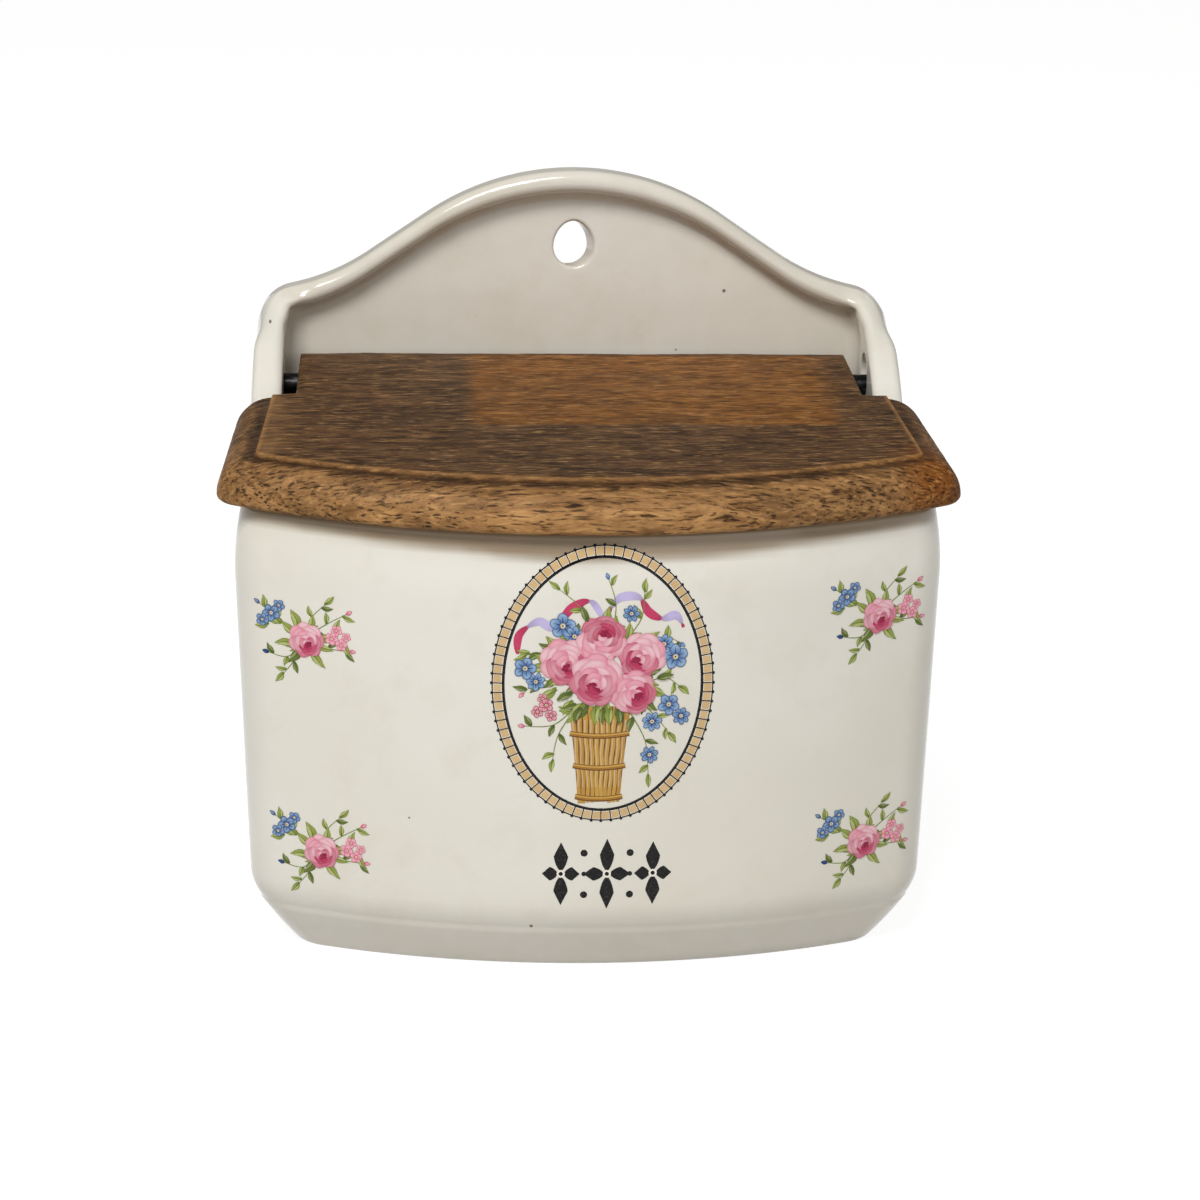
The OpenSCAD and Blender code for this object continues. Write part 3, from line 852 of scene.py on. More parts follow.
def wood_material():
    """Beech, dark and waxed on top, rubbed lighter on the moulding, with short dark pores along it."""
    material = bpy.data.materials.new("worn_beech")
    n = Nodes(material)
    where = n.add("TexCoord").outputs["Object"]
    stir = n.add("TexNoise", {"Vector": n.mapped(where, (90, 260, 260)), "Scale": 1.0, "Detail": 3.0})
    stir = n.vectors("MULTIPLY", stir.outputs["Color"], (0, 0.0022, 0.0022))
    wavy = n.vectors("ADD", where, stir)
    fibre = n.noise(n.mapped(wavy, (260, 1050, 1050)), 1.0, 4, 0.62)
    streak = n.noise(n.mapped(wavy, (80, 420, 420)), 1.0, 5, 0.66)
    smudge = n.noise(n.mapped(where, (34, 95, 95), (0.3, 0, 0)), 1.0, 5, 0.6, 0.6)
    band = n.noise(n.mapped(wavy, (7, 150, 150)), 1.0, 3, 0.5)
    cells = n.add("TexVoronoi", {"Vector": n.mapped(wavy, (120, 1050, 1050)), "Scale": 1.0}, feature="F1")
    cells = cells.outputs["Distance"]
    pore_where = n.grey_ramp(n.noise(n.mapped(where, (90, 330, 330)), 1.0, 3), 0.34, 0.52)
    pores = n.maths("MULTIPLY", n.grey_ramp(cells, 0.20, 0.30, 1.0, 0.0), pore_where)
    field = n.blend(rgb(50, 34, 20), rgb(114, 78, 45), n.grey_ramp(streak, 0.32, 0.68))
    rubbed = n.blend(rgb(134, 92, 50), rgb(204, 154, 98), n.grey_ramp(streak, 0.32, 0.68))
    patch = n.blend(rgb(100, 60, 20), rgb(160, 102, 40), n.grey_ramp(streak, 0.32, 0.70))
    tone = n.blend(field, patch, n.mark("patch"))
    lift = n.maths("ADD", n.mark("worn"), n.grey_ramp(smudge, 0.36, 0.68, -0.2, 0.07))
    tone = n.blend(tone, rubbed, lift)
    tone = n.blend(tone, rgb(128, 72, 20), n.mark("amber"))
    tone = n.blend(tone, rgb(46, 33, 23), n.grey_ramp(smudge, 0.50, 0.30, 0, 0.45))
    dash = n.noise(n.mapped(wavy, (210, 1900, 1900), (0.7, 0.2, 0)), 1.0, 2, 0.5)
    tone = n.blend(tone, rgb(44, 27, 14), n.grey_ramp(fibre, 0.54, 0.66, 0, 0.46))
    tone = n.blend(tone, n.blend(tone, rgb(220, 168, 104), 0.30), n.grey_ramp(fibre, 0.43, 0.34, 0, 1.0))
    tone = n.blend(tone, rgb(36, 22, 12), n.grey_ramp(dash, 0.58, 0.64, 0, 0.75))
    tone = n.blend(tone, n.blend(tone, rgb(226, 178, 118), 0.26), n.grey_ramp(dash, 0.40, 0.34, 0, 1.0))
    tone = n.blend(tone, rgb(70, 46, 26), n.grey_ramp(band, 0.55, 0.72, 0, 0.3))
    tone = n.blend(tone, rgb(38, 24, 15), n.maths("MULTIPLY", pores, 0.8))
    # Painted shade in the crease at the foot of the field's step
    groove = n.maths("MULTIPLY", n.mark("groove"), n.grey_ramp(streak, 0.2, 0.6, 0.85, 0.35))
    tone = n.blend(tone, rgb(40, 26, 17), groove)
    # Painted highlight, with rubbed wear in it, on the field's front arris and its left margin
    arris = n.maths("MULTIPLY", n.mark("arris"), n.grey_ramp(fibre, 0.35, 0.6, 0.85, 0.5))
    tone = n.blend(tone, rgb(196, 144, 88), arris)
    height = n.maths("SUBTRACT", n.maths("MULTIPLY", fibre, -0.6), pores)
    rough = n.grey_ramp(streak, 0.3, 0.7, 0.66, 0.5)
    n.principled(tone, rough, n.bump(height, 0.6, 0.00028), IOR=1.42, Specular_IOR_Level=0.2)
    return material


def steel_material():
    material = bpy.data.materials.new("blackened_steel")
    n = Nodes(material)
    where = n.add("TexCoord").outputs["Object"]
    scuff = n.noise(n.mapped(where, (300, 900, 900)), 1.0, 4, 0.6)
    rust = n.noise(where, 500, 4, 0.6)
    base = n.blend(rgb(22, 22, 24), rgb(74, 74, 78), n.grey_ramp(scuff, 0.55, 0.75))
    base = n.blend(base, rgb(66, 44, 30), n.grey_ramp(rust, 0.62, 0.75, 0, 0.5))
    n.principled(base, n.grey_ramp(scuff, 0.3, 0.7, 0.18, 0.4), n.bump(scuff, 0.3, 0.0001), Metallic=0.6)
    return material


def stage_material():
    """A pale floor that the camera sees as white, apart from the object's shadow on it."""
    material = bpy.data.materials.new("pale_floor")
    n = Nodes(material)
    path = n.add("LightPath").outputs
    indirect = n.maths("MAXIMUM", path["Is Glossy Ray"], path["Is Transmission Ray"])
    seen = n.maths("MAXIMUM", path["Is Camera Ray"], indirect)
    plain = n.add("BsdfDiffuse", {"Color": (0.62, 0.62, 0.62)}).outputs[0]
    half = n.add("BsdfDiffuse", {"Color": (0.30, 0.30, 0.30)}).outputs[0]
    glow = n.add("Emission", {"Color": (1, 1, 1), "Strength": 0.90}).outputs[0]
    lit = n.add("AddShader", {0: half, 1: glow}).outputs[0]
    n.finish(n.add("MixShader", {0: seen, 1: plain, 2: lit}).outputs[0])
    return material


def make_world():
    """White where the camera looks past the object, and an even, slightly warm light from all sides."""
    world = bpy.data.worlds.new("studio")
    bpy.context.scene.world = world
    n = Nodes(world, "OutputWorld")
    path = n.add("LightPath").outputs
    seen = n.maths("MAXIMUM", path["Is Camera Ray"], path["Is Transmission Ray"])
    white = n.add("Background", {0: (1, 1, 1), 1: 1.0}).outputs[0]
    room = n.add("Background", {0: (1.0, 0.99, 0.97), 1: WORLD_LIGHT}).outputs[0]
    n.finish(n.add("MixShader", {0: seen, 1: room, 2: white}).outputs[0])


WORLD_LIGHT = 0.24
FLOOR_HALF = 6

make_camera()
make_world()
area_light("key", (-0.34, -0.80, 1.18), (0, 0, 0.08), (0.60, 0.44), 14.6)
area_light("fill", (0.55, -1.25, 0.42), (0, 0, 0.07), (0.8, 0.8), 1.8)
far = FLOOR_HALF
corners = [(-far, -far, 0), (far, -far, 0), (far, far, 0), (-far, far, 0)]
floor = new_object("floor", corners, [(0, 1, 2, 3)], stage_material())


# ---------------------------------------------------------------- transfers on the glaze

def front_point(x, z, lift):
    """The point of the body's front at [x, z], lifted off the glaze along its normal, as [x, u, z]."""
    if z <= BELT_H:
        w, d, rc = outer_sizes(z)
    else:
        t = (z - BELT_H) / (rim_z(BODY_D) - RIM_EDGE_R - BELT_H)
        drawn_in = SHOULDER_IN * t * t
        w, d, rc = BODY_W / 2 - drawn_in, BODY_D - drawn_in, CORNER_R
    bow_u, corner_u, g = front_corner(w, d, rc)
    if abs(x) <= BOW_R * math.cos(g):
        normal = x / BOW_R, math.sqrt(1 - (x / BOW_R) ** 2)
        return x + lift * normal[0], bow_u + (BOW_R + lift) * normal[1], z
    across = min(1.0, (abs(x) - (w - rc)) / rc)
    normal = across, math.sqrt(1 - across ** 2)
    return math.copysign(w - rc + (rc + lift) * normal[0], x), corner_u + (rc + lift) * normal[1], z


INK_LIFT = 0.03
INK_STEP = 0.008


class Transfer:
    """Printed shapes in layers on the glaze. Places are [x, z] from the motif's own middle."""

    def __init__(self, name, x, z):
        self.name = name
        self.middle = x, z
        self.verts = []
        self.inks = []
        self.faces = []
        self.shapes = 0

    def point(self, x, z, layer, ink):
        # Shapes of one layer lie a hair apart, so that those that overlap don't flicker
        lift = INK_LIFT + INK_STEP * (layer + self.shapes % 13 / 14)
        self.verts.append(front_point(self.middle[0] + x, self.middle[1] + z, lift))
        self.inks.append(ink)
        return len(self.verts) - 1

    def petal(self, x, z, length, width, angle, layer, base, tip, edge=None, pointed=0.0,
              wobble=0.0, phase=0.0, sides=20, curl=0.0):
        """A rounded shape whose ink runs from base to tip along its length, with a rim of another ink."""
        self.shapes += 1
        c, s = math.cos(math.radians(angle)), math.sin(math.radians(angle))
        rings = max(2, min(6, round(max(length, width) / 0.7)))

        def place(turn, f):
            along = math.cos(turn)
            across = math.sin(turn) * (1 - pointed * max(0.0, along))
            across *= 1 - 0.35 * pointed * max(0.0, -along)
            swell = 1 + wobble * math.sin(3 * turn + phase) + wobble * 0.6 * math.sin(5 * turn + 2 * phase)
            a, b = f * along * length / 2 * swell, f * across * width / 2 * swell
            b += curl * (a / length) ** 2 * 4
            ink = mix(base, tip, (1 + f * along) / 2)
            if edge is not None:
                ink = mix(ink, edge, smooth((f - 0.74) / 0.22))
            return self.point(x + a * c - b * s, z + a * s + b * c, layer, ink)

        hub = place(0, 0)
        turns = [2 * math.pi * k / sides for k in range(sides)]
        last = None
        for ring_no in range(1, rings + 1):
            row = [place(turn, ring_no / rings) for turn in turns]
            for k in range(sides):
                m = (k + 1) % sides
                if last is None:
                    self.faces.append((hub, row[k], row[m]))
                else:
                    self.faces.append((last[k], row[k], row[m], last[m]))
            last = row

    def stroke(self, points, width, layer, ink, end_width=None, closed=False, inks=None):
        """A line of ink through points, as wide as a number or a function of the share along it says.

        With end_width it narrows or widens to that; with inks its ink is a function of the same share.
        """
        self.shapes += 1
        count = len(points)
        rows = []
        for k, (x, z) in enumerate(points):
            ahead = points[(k + 1) % count] if closed or k < count - 1 else points[k]
            behind = points[k - 1] if closed or k > 0 else points[k]
            dx, dz = ahead[0] - behind[0], ahead[1] - behind[1]
            size = math.hypot(dx, dz) or 1.0
            share = k / max(1, count - 1)
            if callable(width):
                half = width(share) / 2
            else:
                half = mix(width, width if end_width is None else end_width, share) / 2
            tint = ink if inks is None else inks(share)
            rows.append((self.point(x - dz / size * half, z + dx / size * half, layer, tint),
                         self.point(x + dz / size * half, z - dx / size * half, layer, tint)))
        for k in range(count if closed else count - 1):
            a, b = rows[k], rows[(k + 1) % count]
            self.faces.append((a[0], a[1], b[1], b[0]))

    def build(self, material):
        obj = new_object(self.name, to_frame(self.verts), self.faces, material)
        face_front(obj)
        layer = obj.data.color_attributes.new("ink", "FLOAT_COLOR", "POINT")
        colours = np.column_stack([self.inks, np.ones(len(self.inks))]).astype(np.float32)
        layer.data.foreach_set("color", colours.ravel())
        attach(obj, "body")


def face_front(obj):
    """Turns every face of an open print to the front."""
    bm = bmesh.new()
    bm.from_mesh(obj.data)
    for face in bm.faces:
        face.normal_update()
        if face.normal.y > 0:
            face.normal_flip()
    bm.to_mesh(obj.data)
    bm.free()


def curve(points, count=16):
    """A smooth line through points, as a Catmull-Rom spline."""
    p = [points[0], *points, points[-1]]
    out = []
    for k in range(1, len(p) - 2):
        for t in steps(count)[:-1]:
            out.append(tuple(0.5 * (2 * p[k][i] + (p[k + 1][i] - p[k - 1][i]) * t
                                    + (2 * p[k - 1][i] - 5 * p[k][i] + 4 * p[k + 1][i] - p[k + 2][i]) * t * t
                                    + (3 * p[k][i] - 3 * p[k + 1][i] + p[k + 2][i] - p[k - 1][i]) * t ** 3)
                             for i in (0, 1)))
    return [*out, points[-1]]


def turned(x, z, r, angle):
    return x + r * math.cos(math.radians(angle)), z + r * math.sin(math.radians(angle))


def ink_rgb(*levels):
    return np.array(rgb(*levels))


BLUSH = ink_rgb(251, 218, 222)
PINK = ink_rgb(238, 134, 162)
ROSE = ink_rgb(206, 60, 104)
CRIMSON = ink_rgb(146, 14, 60)
SKY = ink_rgb(168, 200, 230)
BLUE = ink_rgb(46, 92, 156)
NAVY = ink_rgb(18, 42, 96)
YOLK = ink_rgb(222, 206, 140)
SAGE = ink_rgb(172, 182, 92)
LEAF = ink_rgb(120, 136, 52)
MOSS = ink_rgb(76, 92, 34)
LILAC = ink_rgb(202, 190, 232)
STRAW = ink_rgb(214, 170, 84)
CANE = ink_rgb(172, 120, 44)
BARK = ink_rgb(108, 68, 26)
TAN = ink_rgb(222, 190, 140)
CREAM = ink_rgb(248, 243, 230)
BLACK = ink_rgb(14, 14, 16)


def draw_leaf(t, x, z, angle, length, layer, rng, dark=False):
    """A leaf from its stalk at [x, z], with a midrib and a lighter half."""
    low, high = (MOSS, LEAF) if dark else (LEAF, SAGE)
    mx, mz = turned(x, z, length / 2, angle)
    curl = rng.uniform(-0.12, 0.12) * length
    t.petal(mx, mz, length, length * rng.uniform(0.40, 0.52), angle, layer, low, high, edge=low, pointed=0.75,
            wobble=0.03, phase=rng.uniform(0, 6), sides=18, curl=curl)
    side = rng.choice((-1, 1))
    hx, hz = turned(mx, mz, side * length * 0.09, angle + 90)
    t.petal(hx, hz, length * 0.7, length * 0.14, angle, layer + 1, high, mix(high, CREAM, 0.25),
            pointed=0.7, sides=12, curl=curl * 0.8)
    t.stroke([turned(x, z, length * k, angle) for k in (0.02, 0.35, 0.62, 0.88)], 0.16, layer + 2, MOSS, 0.05)


# Rings of a rose's petals as [radius, petals, length, width], as shares of its own radius
ROSE_RINGS = ((0.64, 7, 0.96, 1.02), (0.50, 5, 0.80, 1.10), (0.36, 5, 0.66, 0.92),
              (0.22, 4, 0.50, 0.66), (0.10, 3, 0.34, 0.42))


def draw_rose(t, x, z, r, facing, layer, rng):
    """A full rose: a guard petal under nested rings of petals that turn crimson towards facing."""
    t.petal(x, z, 2.0 * r, 1.9 * r, facing, layer, ROSE, PINK, edge=ROSE, wobble=0.05,
            phase=rng.uniform(0, 6), sides=30)
    for ring_no, (radius, count, length, width) in enumerate(ROSE_RINGS):
        start = rng.uniform(0, 360)
        mx, mz = turned(x, z, 0.055 * r * ring_no, facing)
        for k in range(count):
            angle = start + 360 / count * k + rng.uniform(-10, 10)
            toward = math.cos(math.radians(angle - facing))
            shade = float(smooth((toward + 0.55) / 1.4)) * (0.45 + 0.14 * ring_no)
            tip = mix(mix(BLUSH, PINK, 0.45 * (k % 2)), ROSE, min(1.0, shade * 1.25))
            base = mix(mix(PINK, ROSE, 0.5), CRIMSON, min(1.0, shade * 1.7))
            edge = mix(tip, mix(ROSE, CRIMSON, min(1.0, shade * 1.2)), 0.55)
            px, pz = turned(mx, mz, radius * r, angle)
            t.petal(px, pz, length * r, width * r, angle, layer + 1 + ring_no, base, tip,
                    edge=edge, wobble=0.05, phase=rng.uniform(0, 6), sides=22)
    for k in range(5):
        hx, hz = turned(x, z, (0.24 + 0.05 * k) * r, facing + rng.uniform(-30, 30))
        t.petal(hx, hz, (0.16 - 0.015 * k) * r, 0.34 * r, facing + rng.uniform(-40, 40), layer + 7 + 0.3 * k,
                CRIMSON, mix(CRIMSON, ROSE, 0.25 * (k % 3)), wobble=0.12, sides=16)


def draw_star_flower(t, x, z, r, layer, rng, petals=5, inks=(BLUE, SKY, NAVY)):
    """A small open flower, such as a forget-me-not, with a pale eye."""
    base, tip, edge = inks
    start = rng.uniform(0, 360)
    for k in range(petals):
        angle = start + 360 / petals * k + rng.uniform(-6, 6)
        px, pz = turned(x, z, 0.56 * r, angle)
        t.petal(px, pz, 0.92 * r, 0.86 * r * 5 / max(5, petals), angle, layer + k % 2, base, tip,
                edge=mix(base, edge, 0.6), wobble=0.05,
                phase=rng.uniform(0, 6), sides=14)
        t.stroke([turned(x, z, r * q, angle) for q in (0.25, 0.5, 0.75)], 0.10 * r, layer + 2, edge, 0.03)
    t.petal(x, z, 0.52 * r, 0.52 * r, 0, layer + 3, YOLK, CREAM, edge=edge, sides=14)
    t.petal(x, z, 0.16 * r, 0.16 * r, 0, layer + 4, BARK, BARK, sides=8)


def draw_spray(t, points, layer, rng, leaf, bud):
    """A stalk through points, with leaves on both sides, and a bud in two inks or a last leaf at its end."""
    every = 4
    line_points = curve(points, 6)
    t.stroke(line_points, 0.26, layer, LEAF, 0.12)
    for k in range(2, len(line_points) - 1, every):
        (x0, z0), (x1, z1) = line_points[k - 1], line_points[k + 1]
        heading = math.degrees(math.atan2(z1 - z0, x1 - x0))
        side = 1 if (k // every) % 2 else -1
        draw_leaf(t, *line_points[k], heading + side * rng.uniform(38, 62), leaf * rng.uniform(0.8, 1.15),
                  layer, rng, dark=rng.random() < 0.35)
    (x0, z0), (x1, z1) = line_points[-3], line_points[-1]
    heading = math.degrees(math.atan2(z1 - z0, x1 - x0))
    if bud is None:
        draw_leaf(t, x1, z1, heading, leaf, layer, rng)
    else:
        bx, bz = turned(x1, z1, 0.5, heading)
        t.petal(bx, bz, 1.5, 0.95, heading, layer + 3, *bud, edge=bud[0], pointed=0.5, sides=12)


def draw_ribbon(t, points, width, layer, phase):
    """A ribbon that turns over as it runs, so that its lilac side and its pink side show by turns."""
    turns = 11

    def inks(k):
        side = math.sin(phase + turns * k)
        shaded = 1 - 0.25 * abs(math.cos(phase + turns * k)) ** 3
        return mix(LILAC, ROSE, float(smooth((side + 0.15) / 0.3))) * shaded

    def wide(k):
        face = 0.30 + 0.70 * abs(math.sin(phase + turns * k)) ** 0.7
        return width * face * (1 - 0.6 * abs(2 * k - 1) ** 6)

    t.stroke(curve(points, 14), wide, layer, None, inks=inks)


def draw_basket(t, x, top, low, wide, narrow, layer, rng):
    """A tall cane basket: upright canes bound by three rings, with a frayed foot."""
    height = top - low
    canes = 10

    def half(z):
        return mix(narrow, wide, ((z - low) / height) ** 1.3)

    rows = [low + height * k / 14 for k in range(15)]
    shares = steps(8)
    for a, b in zip(rows[:-1], rows[1:]):
        for left, right in zip(shares[:-1], shares[1:]):
            corners = ((left, a), (right, a), (right, b), (left, b))
            t.faces.append(tuple(t.point(x + half(z) * (2 * q - 1), z, layer, BARK) for q, z in corners))
    for k in range(canes):
        share = 2 * (k + 0.5) / canes - 1
        line_points = [(x + half(z) * share + 0.10 * math.sin(z * 0.9 + k), z) for z in rows]
        line_points[0] = (line_points[0][0], low - rng.uniform(0.1, 0.7))
        size = 2 * narrow / canes
        light = 1 - abs(share) ** 2 * 0.5
        cane = mix(CANE, STRAW, light * rng.uniform(0.55, 1.0))
        t.stroke(line_points, size * 0.86, layer + 1, cane, size * 1.14)
        glint = [(px - size * 0.15, pz) for px, pz in line_points[2:-2]]
        t.stroke(glint, size * 0.22, layer + 2, mix(cane, CREAM, 0.30), size * 0.3)
    for share in (0.03, 0.36, 0.70):
        z = low + height * share
        reach = half(z) + 0.45
        arc = [(x + reach * q, z - 0.55 * (1 - q * q) + 0.25) for q in (k / 12 - 1 for k in range(25))]
        t.stroke(arc, 1.15, layer + 3, BARK)
        t.stroke([(px, pz + 0.08) for px, pz in arc], 0.82, layer + 4, CANE)
        t.stroke([(px, pz + 0.22) for px, pz in arc], 0.28, layer + 5, STRAW)


MEDALLION_X = 1.75
MEDALLION_Z = 64.4
MEDALLION_HALF_W = 22.7
MEDALLION_HALF_H = 29.3
MEDALLION_BLOCKS = 80


def ellipse(grow, count):
    """Points at equal lengths along the medallion's oval, moved outward by grow."""
    fine = 2000
    angles = [2 * math.pi * k / fine for k in range(fine)]
    raw = [(MEDALLION_HALF_W * math.sin(a), MEDALLION_HALF_H * math.cos(a)) for a in angles]
    lengths = np.cumsum([0] + [math.dist(raw[k], raw[(k + 1) % fine]) for k in range(fine)])
    out = []
    for k in range(count):
        j = int(np.searchsorted(lengths, lengths[-1] * k / count))
        x, z = raw[j % fine]
        nx, nz = x / MEDALLION_HALF_W ** 2, z / MEDALLION_HALF_H ** 2
        size = math.hypot(nx, nz)
        out.append((x + grow * nx / size, z + grow * nz / size))
    return out


def draw_frame(t):
    """The oval frame: a black line, a ring of tan blocks, and ticks with a dot at their outer ends."""
    band = 2.0
    parts = 10
    count = MEDALLION_BLOCKS * parts
    t.stroke(ellipse(-band - 0.24, count), 0.58, 4, BLACK, closed=True)
    t.stroke(ellipse(0.0, count), 0.26, 4, BLACK, closed=True)
    t.stroke(ellipse(-band / 2, count), band, 1, CREAM, closed=True)
    low, high = ellipse(-band + 0.20, count), ellipse(-0.24, count)
    inner, outer = ellipse(-band - 0.2, count), ellipse(0.42, count)
    dots = ellipse(0.12, count)
    rng = random.Random(5)
    for k in range(MEDALLION_BLOCKS):
        first, final = k * parts + 1, (k + 1) * parts - 1
        tint = mix(TAN, CANE, rng.uniform(0, 0.2))
        for j in range(first, final):
            corners = low[j], low[j + 1], high[j + 1], high[j]
            t.faces.append(tuple(t.point(*corner, 2, tint) for corner in corners))
        side = k * parts
        t.stroke([inner[side], outer[side]], 0.24, 5, BLACK)
        t.petal(*dots[side], 0.66, 0.66, 0, 6, BLACK, BLACK, sides=10)


# Stalks as points [x, z] from the motif's middle, and the inks of the bud at the end
BOUQUET_STALKS = (
    (((-2.0, 9.0), (-4.5, 16.0), (-9.0, 20.2)), None),
    (((1.5, 10.0), (2.4, 17.0), (0.8, 22.6)), (BLUE, SKY)),
    (((4.0, 9.0), (7.6, 14.0), (8.2, 19.6)), None),
    (((8.0, 5.0), (13.0, 9.5), (15.8, 8.6)), (BLUE, SKY)),
    (((-8.0, 4.0), (-13.0, 6.8), (-15.6, 6.2)), None),
    (((-7.0, 0.0), (-12.8, 0.8), (-16.4, -2.0)), (ROSE, BLUSH)),
    (((8.0, 0.0), (12.6, 1.4), (15.6, -0.4)), None),
    (((7.0, -3.0), (11.0, -7.0), (13.6, -10.4)), None),
    (((-5.0, -4.0), (-10.0, -8.6), (-16.2, -9.0)), (ROSE, BLUSH)),
    (((5.0, -5.0), (8.8, -12.0), (9.6, -19.4)), None),
    (((-5.0, -4.0), (-9.0, -10.6), (-10.2, -16.0)), None),
)


def draw_bouquet(t):
    rng = random.Random(23)
    draw_basket(t, -0.6, -4.6, -25.0, 6.4, 4.4, 1, rng)
    left = ((-17.6, 6.4), (-17.2, 10.6), (-13.4, 13.4), (-10.2, 12.2),
            (-6.6, 16.4), (-2.8, 17.8), (-0.4, 14.6))
    right = ((0.4, 14.6), (3.0, 18.4), (7.0, 18.6), (9.2, 15.4),
             (12.0, 14.0), (14.8, 14.6), (16.4, 12.0))
    draw_ribbon(t, left, 1.9, 2, 0.4)
    draw_ribbon(t, right, 1.9, 2, 2.2)
    for points, bud in BOUQUET_STALKS:
        draw_spray(t, points, 4, rng, 3.0, bud)
    for k in range(34):
        angle = 360 * k / 34 + rng.uniform(-5, 5)
        reach = rng.uniform(5.6, 10.2)
        x = -0.2 + reach * math.cos(math.radians(angle)) * 1.12
        z = 3.4 + reach * math.sin(math.radians(angle)) * 0.86
        draw_leaf(t, x, z, angle + rng.uniform(-30, 30), rng.uniform(3.4, 5.0), 7 + k % 3, rng,
                  dark=k % 3 == 0)
    for k in range(9):
        draw_leaf(t, -5.4 + 1.35 * k, -4.2 + 0.6 * math.sin(k), -150 + 14 * k + rng.uniform(-12, 12),
                  rng.uniform(3.2, 4.6), 11 + k % 2, rng, dark=k % 2 == 0)
    for x, z, r in ((-8.4, 12.6, 2.7), (-6.0, 10.4, 2.2), (14.8, 5.8, 2.7), (12.4, 8.6, 2.1),
                    (-16.0, 3.4, 2.4), (-13.8, 0.6, 2.0), (13.6, -4.4, 2.3), (16.2, -7.0, 1.9),
                    (10.2, -8.0, 2.1), (9.8, -15.2, 1.9), (5.6, 15.2, 1.8)):
        draw_star_flower(t, x, z, r, 13, rng, petals=5 if r > 2.2 else 7)
    for x, z, r in ((-11.6, -4.4, 1.5), (-13.4, -5.8, 1.3), (-10.6, -6.6, 1.3), (-12.4, -3.0, 1.1)):
        draw_star_flower(t, x, z, r, 13, rng, inks=(ROSE, BLUSH, CRIMSON))
    draw_rose(t, -8.0, 5.0, 4.6, -60, 18, rng)
    draw_rose(t, 7.9, 6.2, 4.5, -120, 18, rng)
    draw_rose(t, -0.4, 9.6, 4.7, 75, 18, rng)
    draw_rose(t, 6.2, -1.6, 4.3, -35, 25, rng)
    draw_rose(t, -1.4, 1.2, 5.1, -105, 26, rng)
    for x, z, angle in ((-6.4, -1.6, 205), (3.2, -5.0, 275), (11.0, 1.4, 10), (-3.4, 13.6, 110),
                        (-4.6, -4.6, 245)):
        draw_leaf(t, x, z, angle, 3.6, 33, rng, dark=True)


# A sprig's stalks in the same form
SPRIG_STALKS = (
    (((0.5, 0.5), (4.6, 3.6), (8.8, 6.2)), (ROSE, BLUSH)),
    (((0.5, 0.0), (5.0, -1.6), (9.4, -1.8)), (ROSE, BLUSH)),
    (((-0.5, 0.5), (-4.8, 3.2), (-9.6, 6.4)), (NAVY, SKY)),
    (((-0.5, -1.0), (-3.6, -4.4), (-7.8, -4.0)), (NAVY, BLUE)),
    (((-0.5, -1.0), (-2.4, -5.2), (-4.4, -8.0)), None),
    (((0.2, 1.0), (1.4, 4.6), (4.2, 7.6)), None),
)


def draw_sprig(t):
    rng = random.Random(40)
    for points, bud in SPRIG_STALKS:
        draw_spray(t, points, 1, rng, 2.9, bud)
    for angle in (20, 62, 118, 158, 200, 246, 292, 338):
        x, z = turned(0.2, -0.4, 2.3, angle)
        draw_leaf(t, x, z, angle + rng.uniform(-20, 20), rng.uniform(3.4, 4.8), 5, rng, dark=angle % 3 == 0)
    for x, z, angle in ((-6.2, 3.4, 60), (-7.4, 2.2, 200), (-4.8, 2.6, 150), (6.0, 1.8, 70), (7.6, 0.2, -60)):
        draw_leaf(t, x, z, angle, rng.uniform(2.8, 3.8), 7, rng)
    for x, z, r in ((-7.0, 4.6, 1.9), (-8.9, 2.9, 1.4), (-5.4, 6.4, 1.3)):
        draw_star_flower(t, x, z, r, 9, rng)
    for x, z, r in ((5.6, 0.6, 1.4), (7.6, -0.6, 1.3), (6.6, 2.4, 1.2), (8.6, 1.2, 1.0)):
        draw_star_flower(t, x, z, r, 9, rng, inks=(PINK, BLUSH, ROSE))
    draw_rose(t, 0.3, -0.3, 3.4, -70, 14, rng)


def draw_name_place(t):
    """Where the photographed box has its name: three four-petalled figures that stand for no letter."""
    for x, tall, wide in ((-9.6, 6.2, 3.2), (0.0, 7.0, 4.2), (9.6, 6.2, 3.2)):
        for angle, length in ((90, tall), (270, tall), (0, wide), (180, wide)):
            px, pz = turned(x, 0, 0.7 + length / 2, angle)
            t.petal(px, pz, length, 3.0, angle, 1, BLACK, BLACK, pointed=0.8, sides=32)
        t.petal(x, 0, 1.7, 1.7, 0, 2, CREAM, CREAM, sides=24)
        t.petal(x, 0, 0.9, 0.9, 0, 3, BLACK, BLACK, sides=20)
    for x in (-4.8, 4.8):
        for z, size in ((-4.6, 1.5), (0.0, 1.0), (4.6, 1.5)):
            t.petal(x, z, size, size, 0, 1, BLACK, BLACK, sides=24)


def ink_material():
    material = bpy.data.materials.new("transfer_ink")
    n = Nodes(material)
    where = n.add("TexCoord").outputs["Object"]
    ink = n.add("VertexColor", layer_name="ink").outputs["Color"]
    grain = n.noise(where, 2600, 3, 0.6)
    wash = n.noise(where, 700, 3, 0.5)
    tone = n.blend(ink, rgb(240, 235, 222), n.grey_ramp(grain, 0.52, 0.8, 0, 0.07))
    tone = n.blend(tone, n.blend(tone, rgb(90, 60, 50), 0.3), n.grey_ramp(wash, 0.5, 0.8, 0, 0.3))
    bump = n.bump(n.noise(where, 26, 2, 0.4), 0.3, 0.0011)
    n.principled(tone, 0.13, bump, IOR=1.5, Specular_IOR_Level=0.2)
    return material


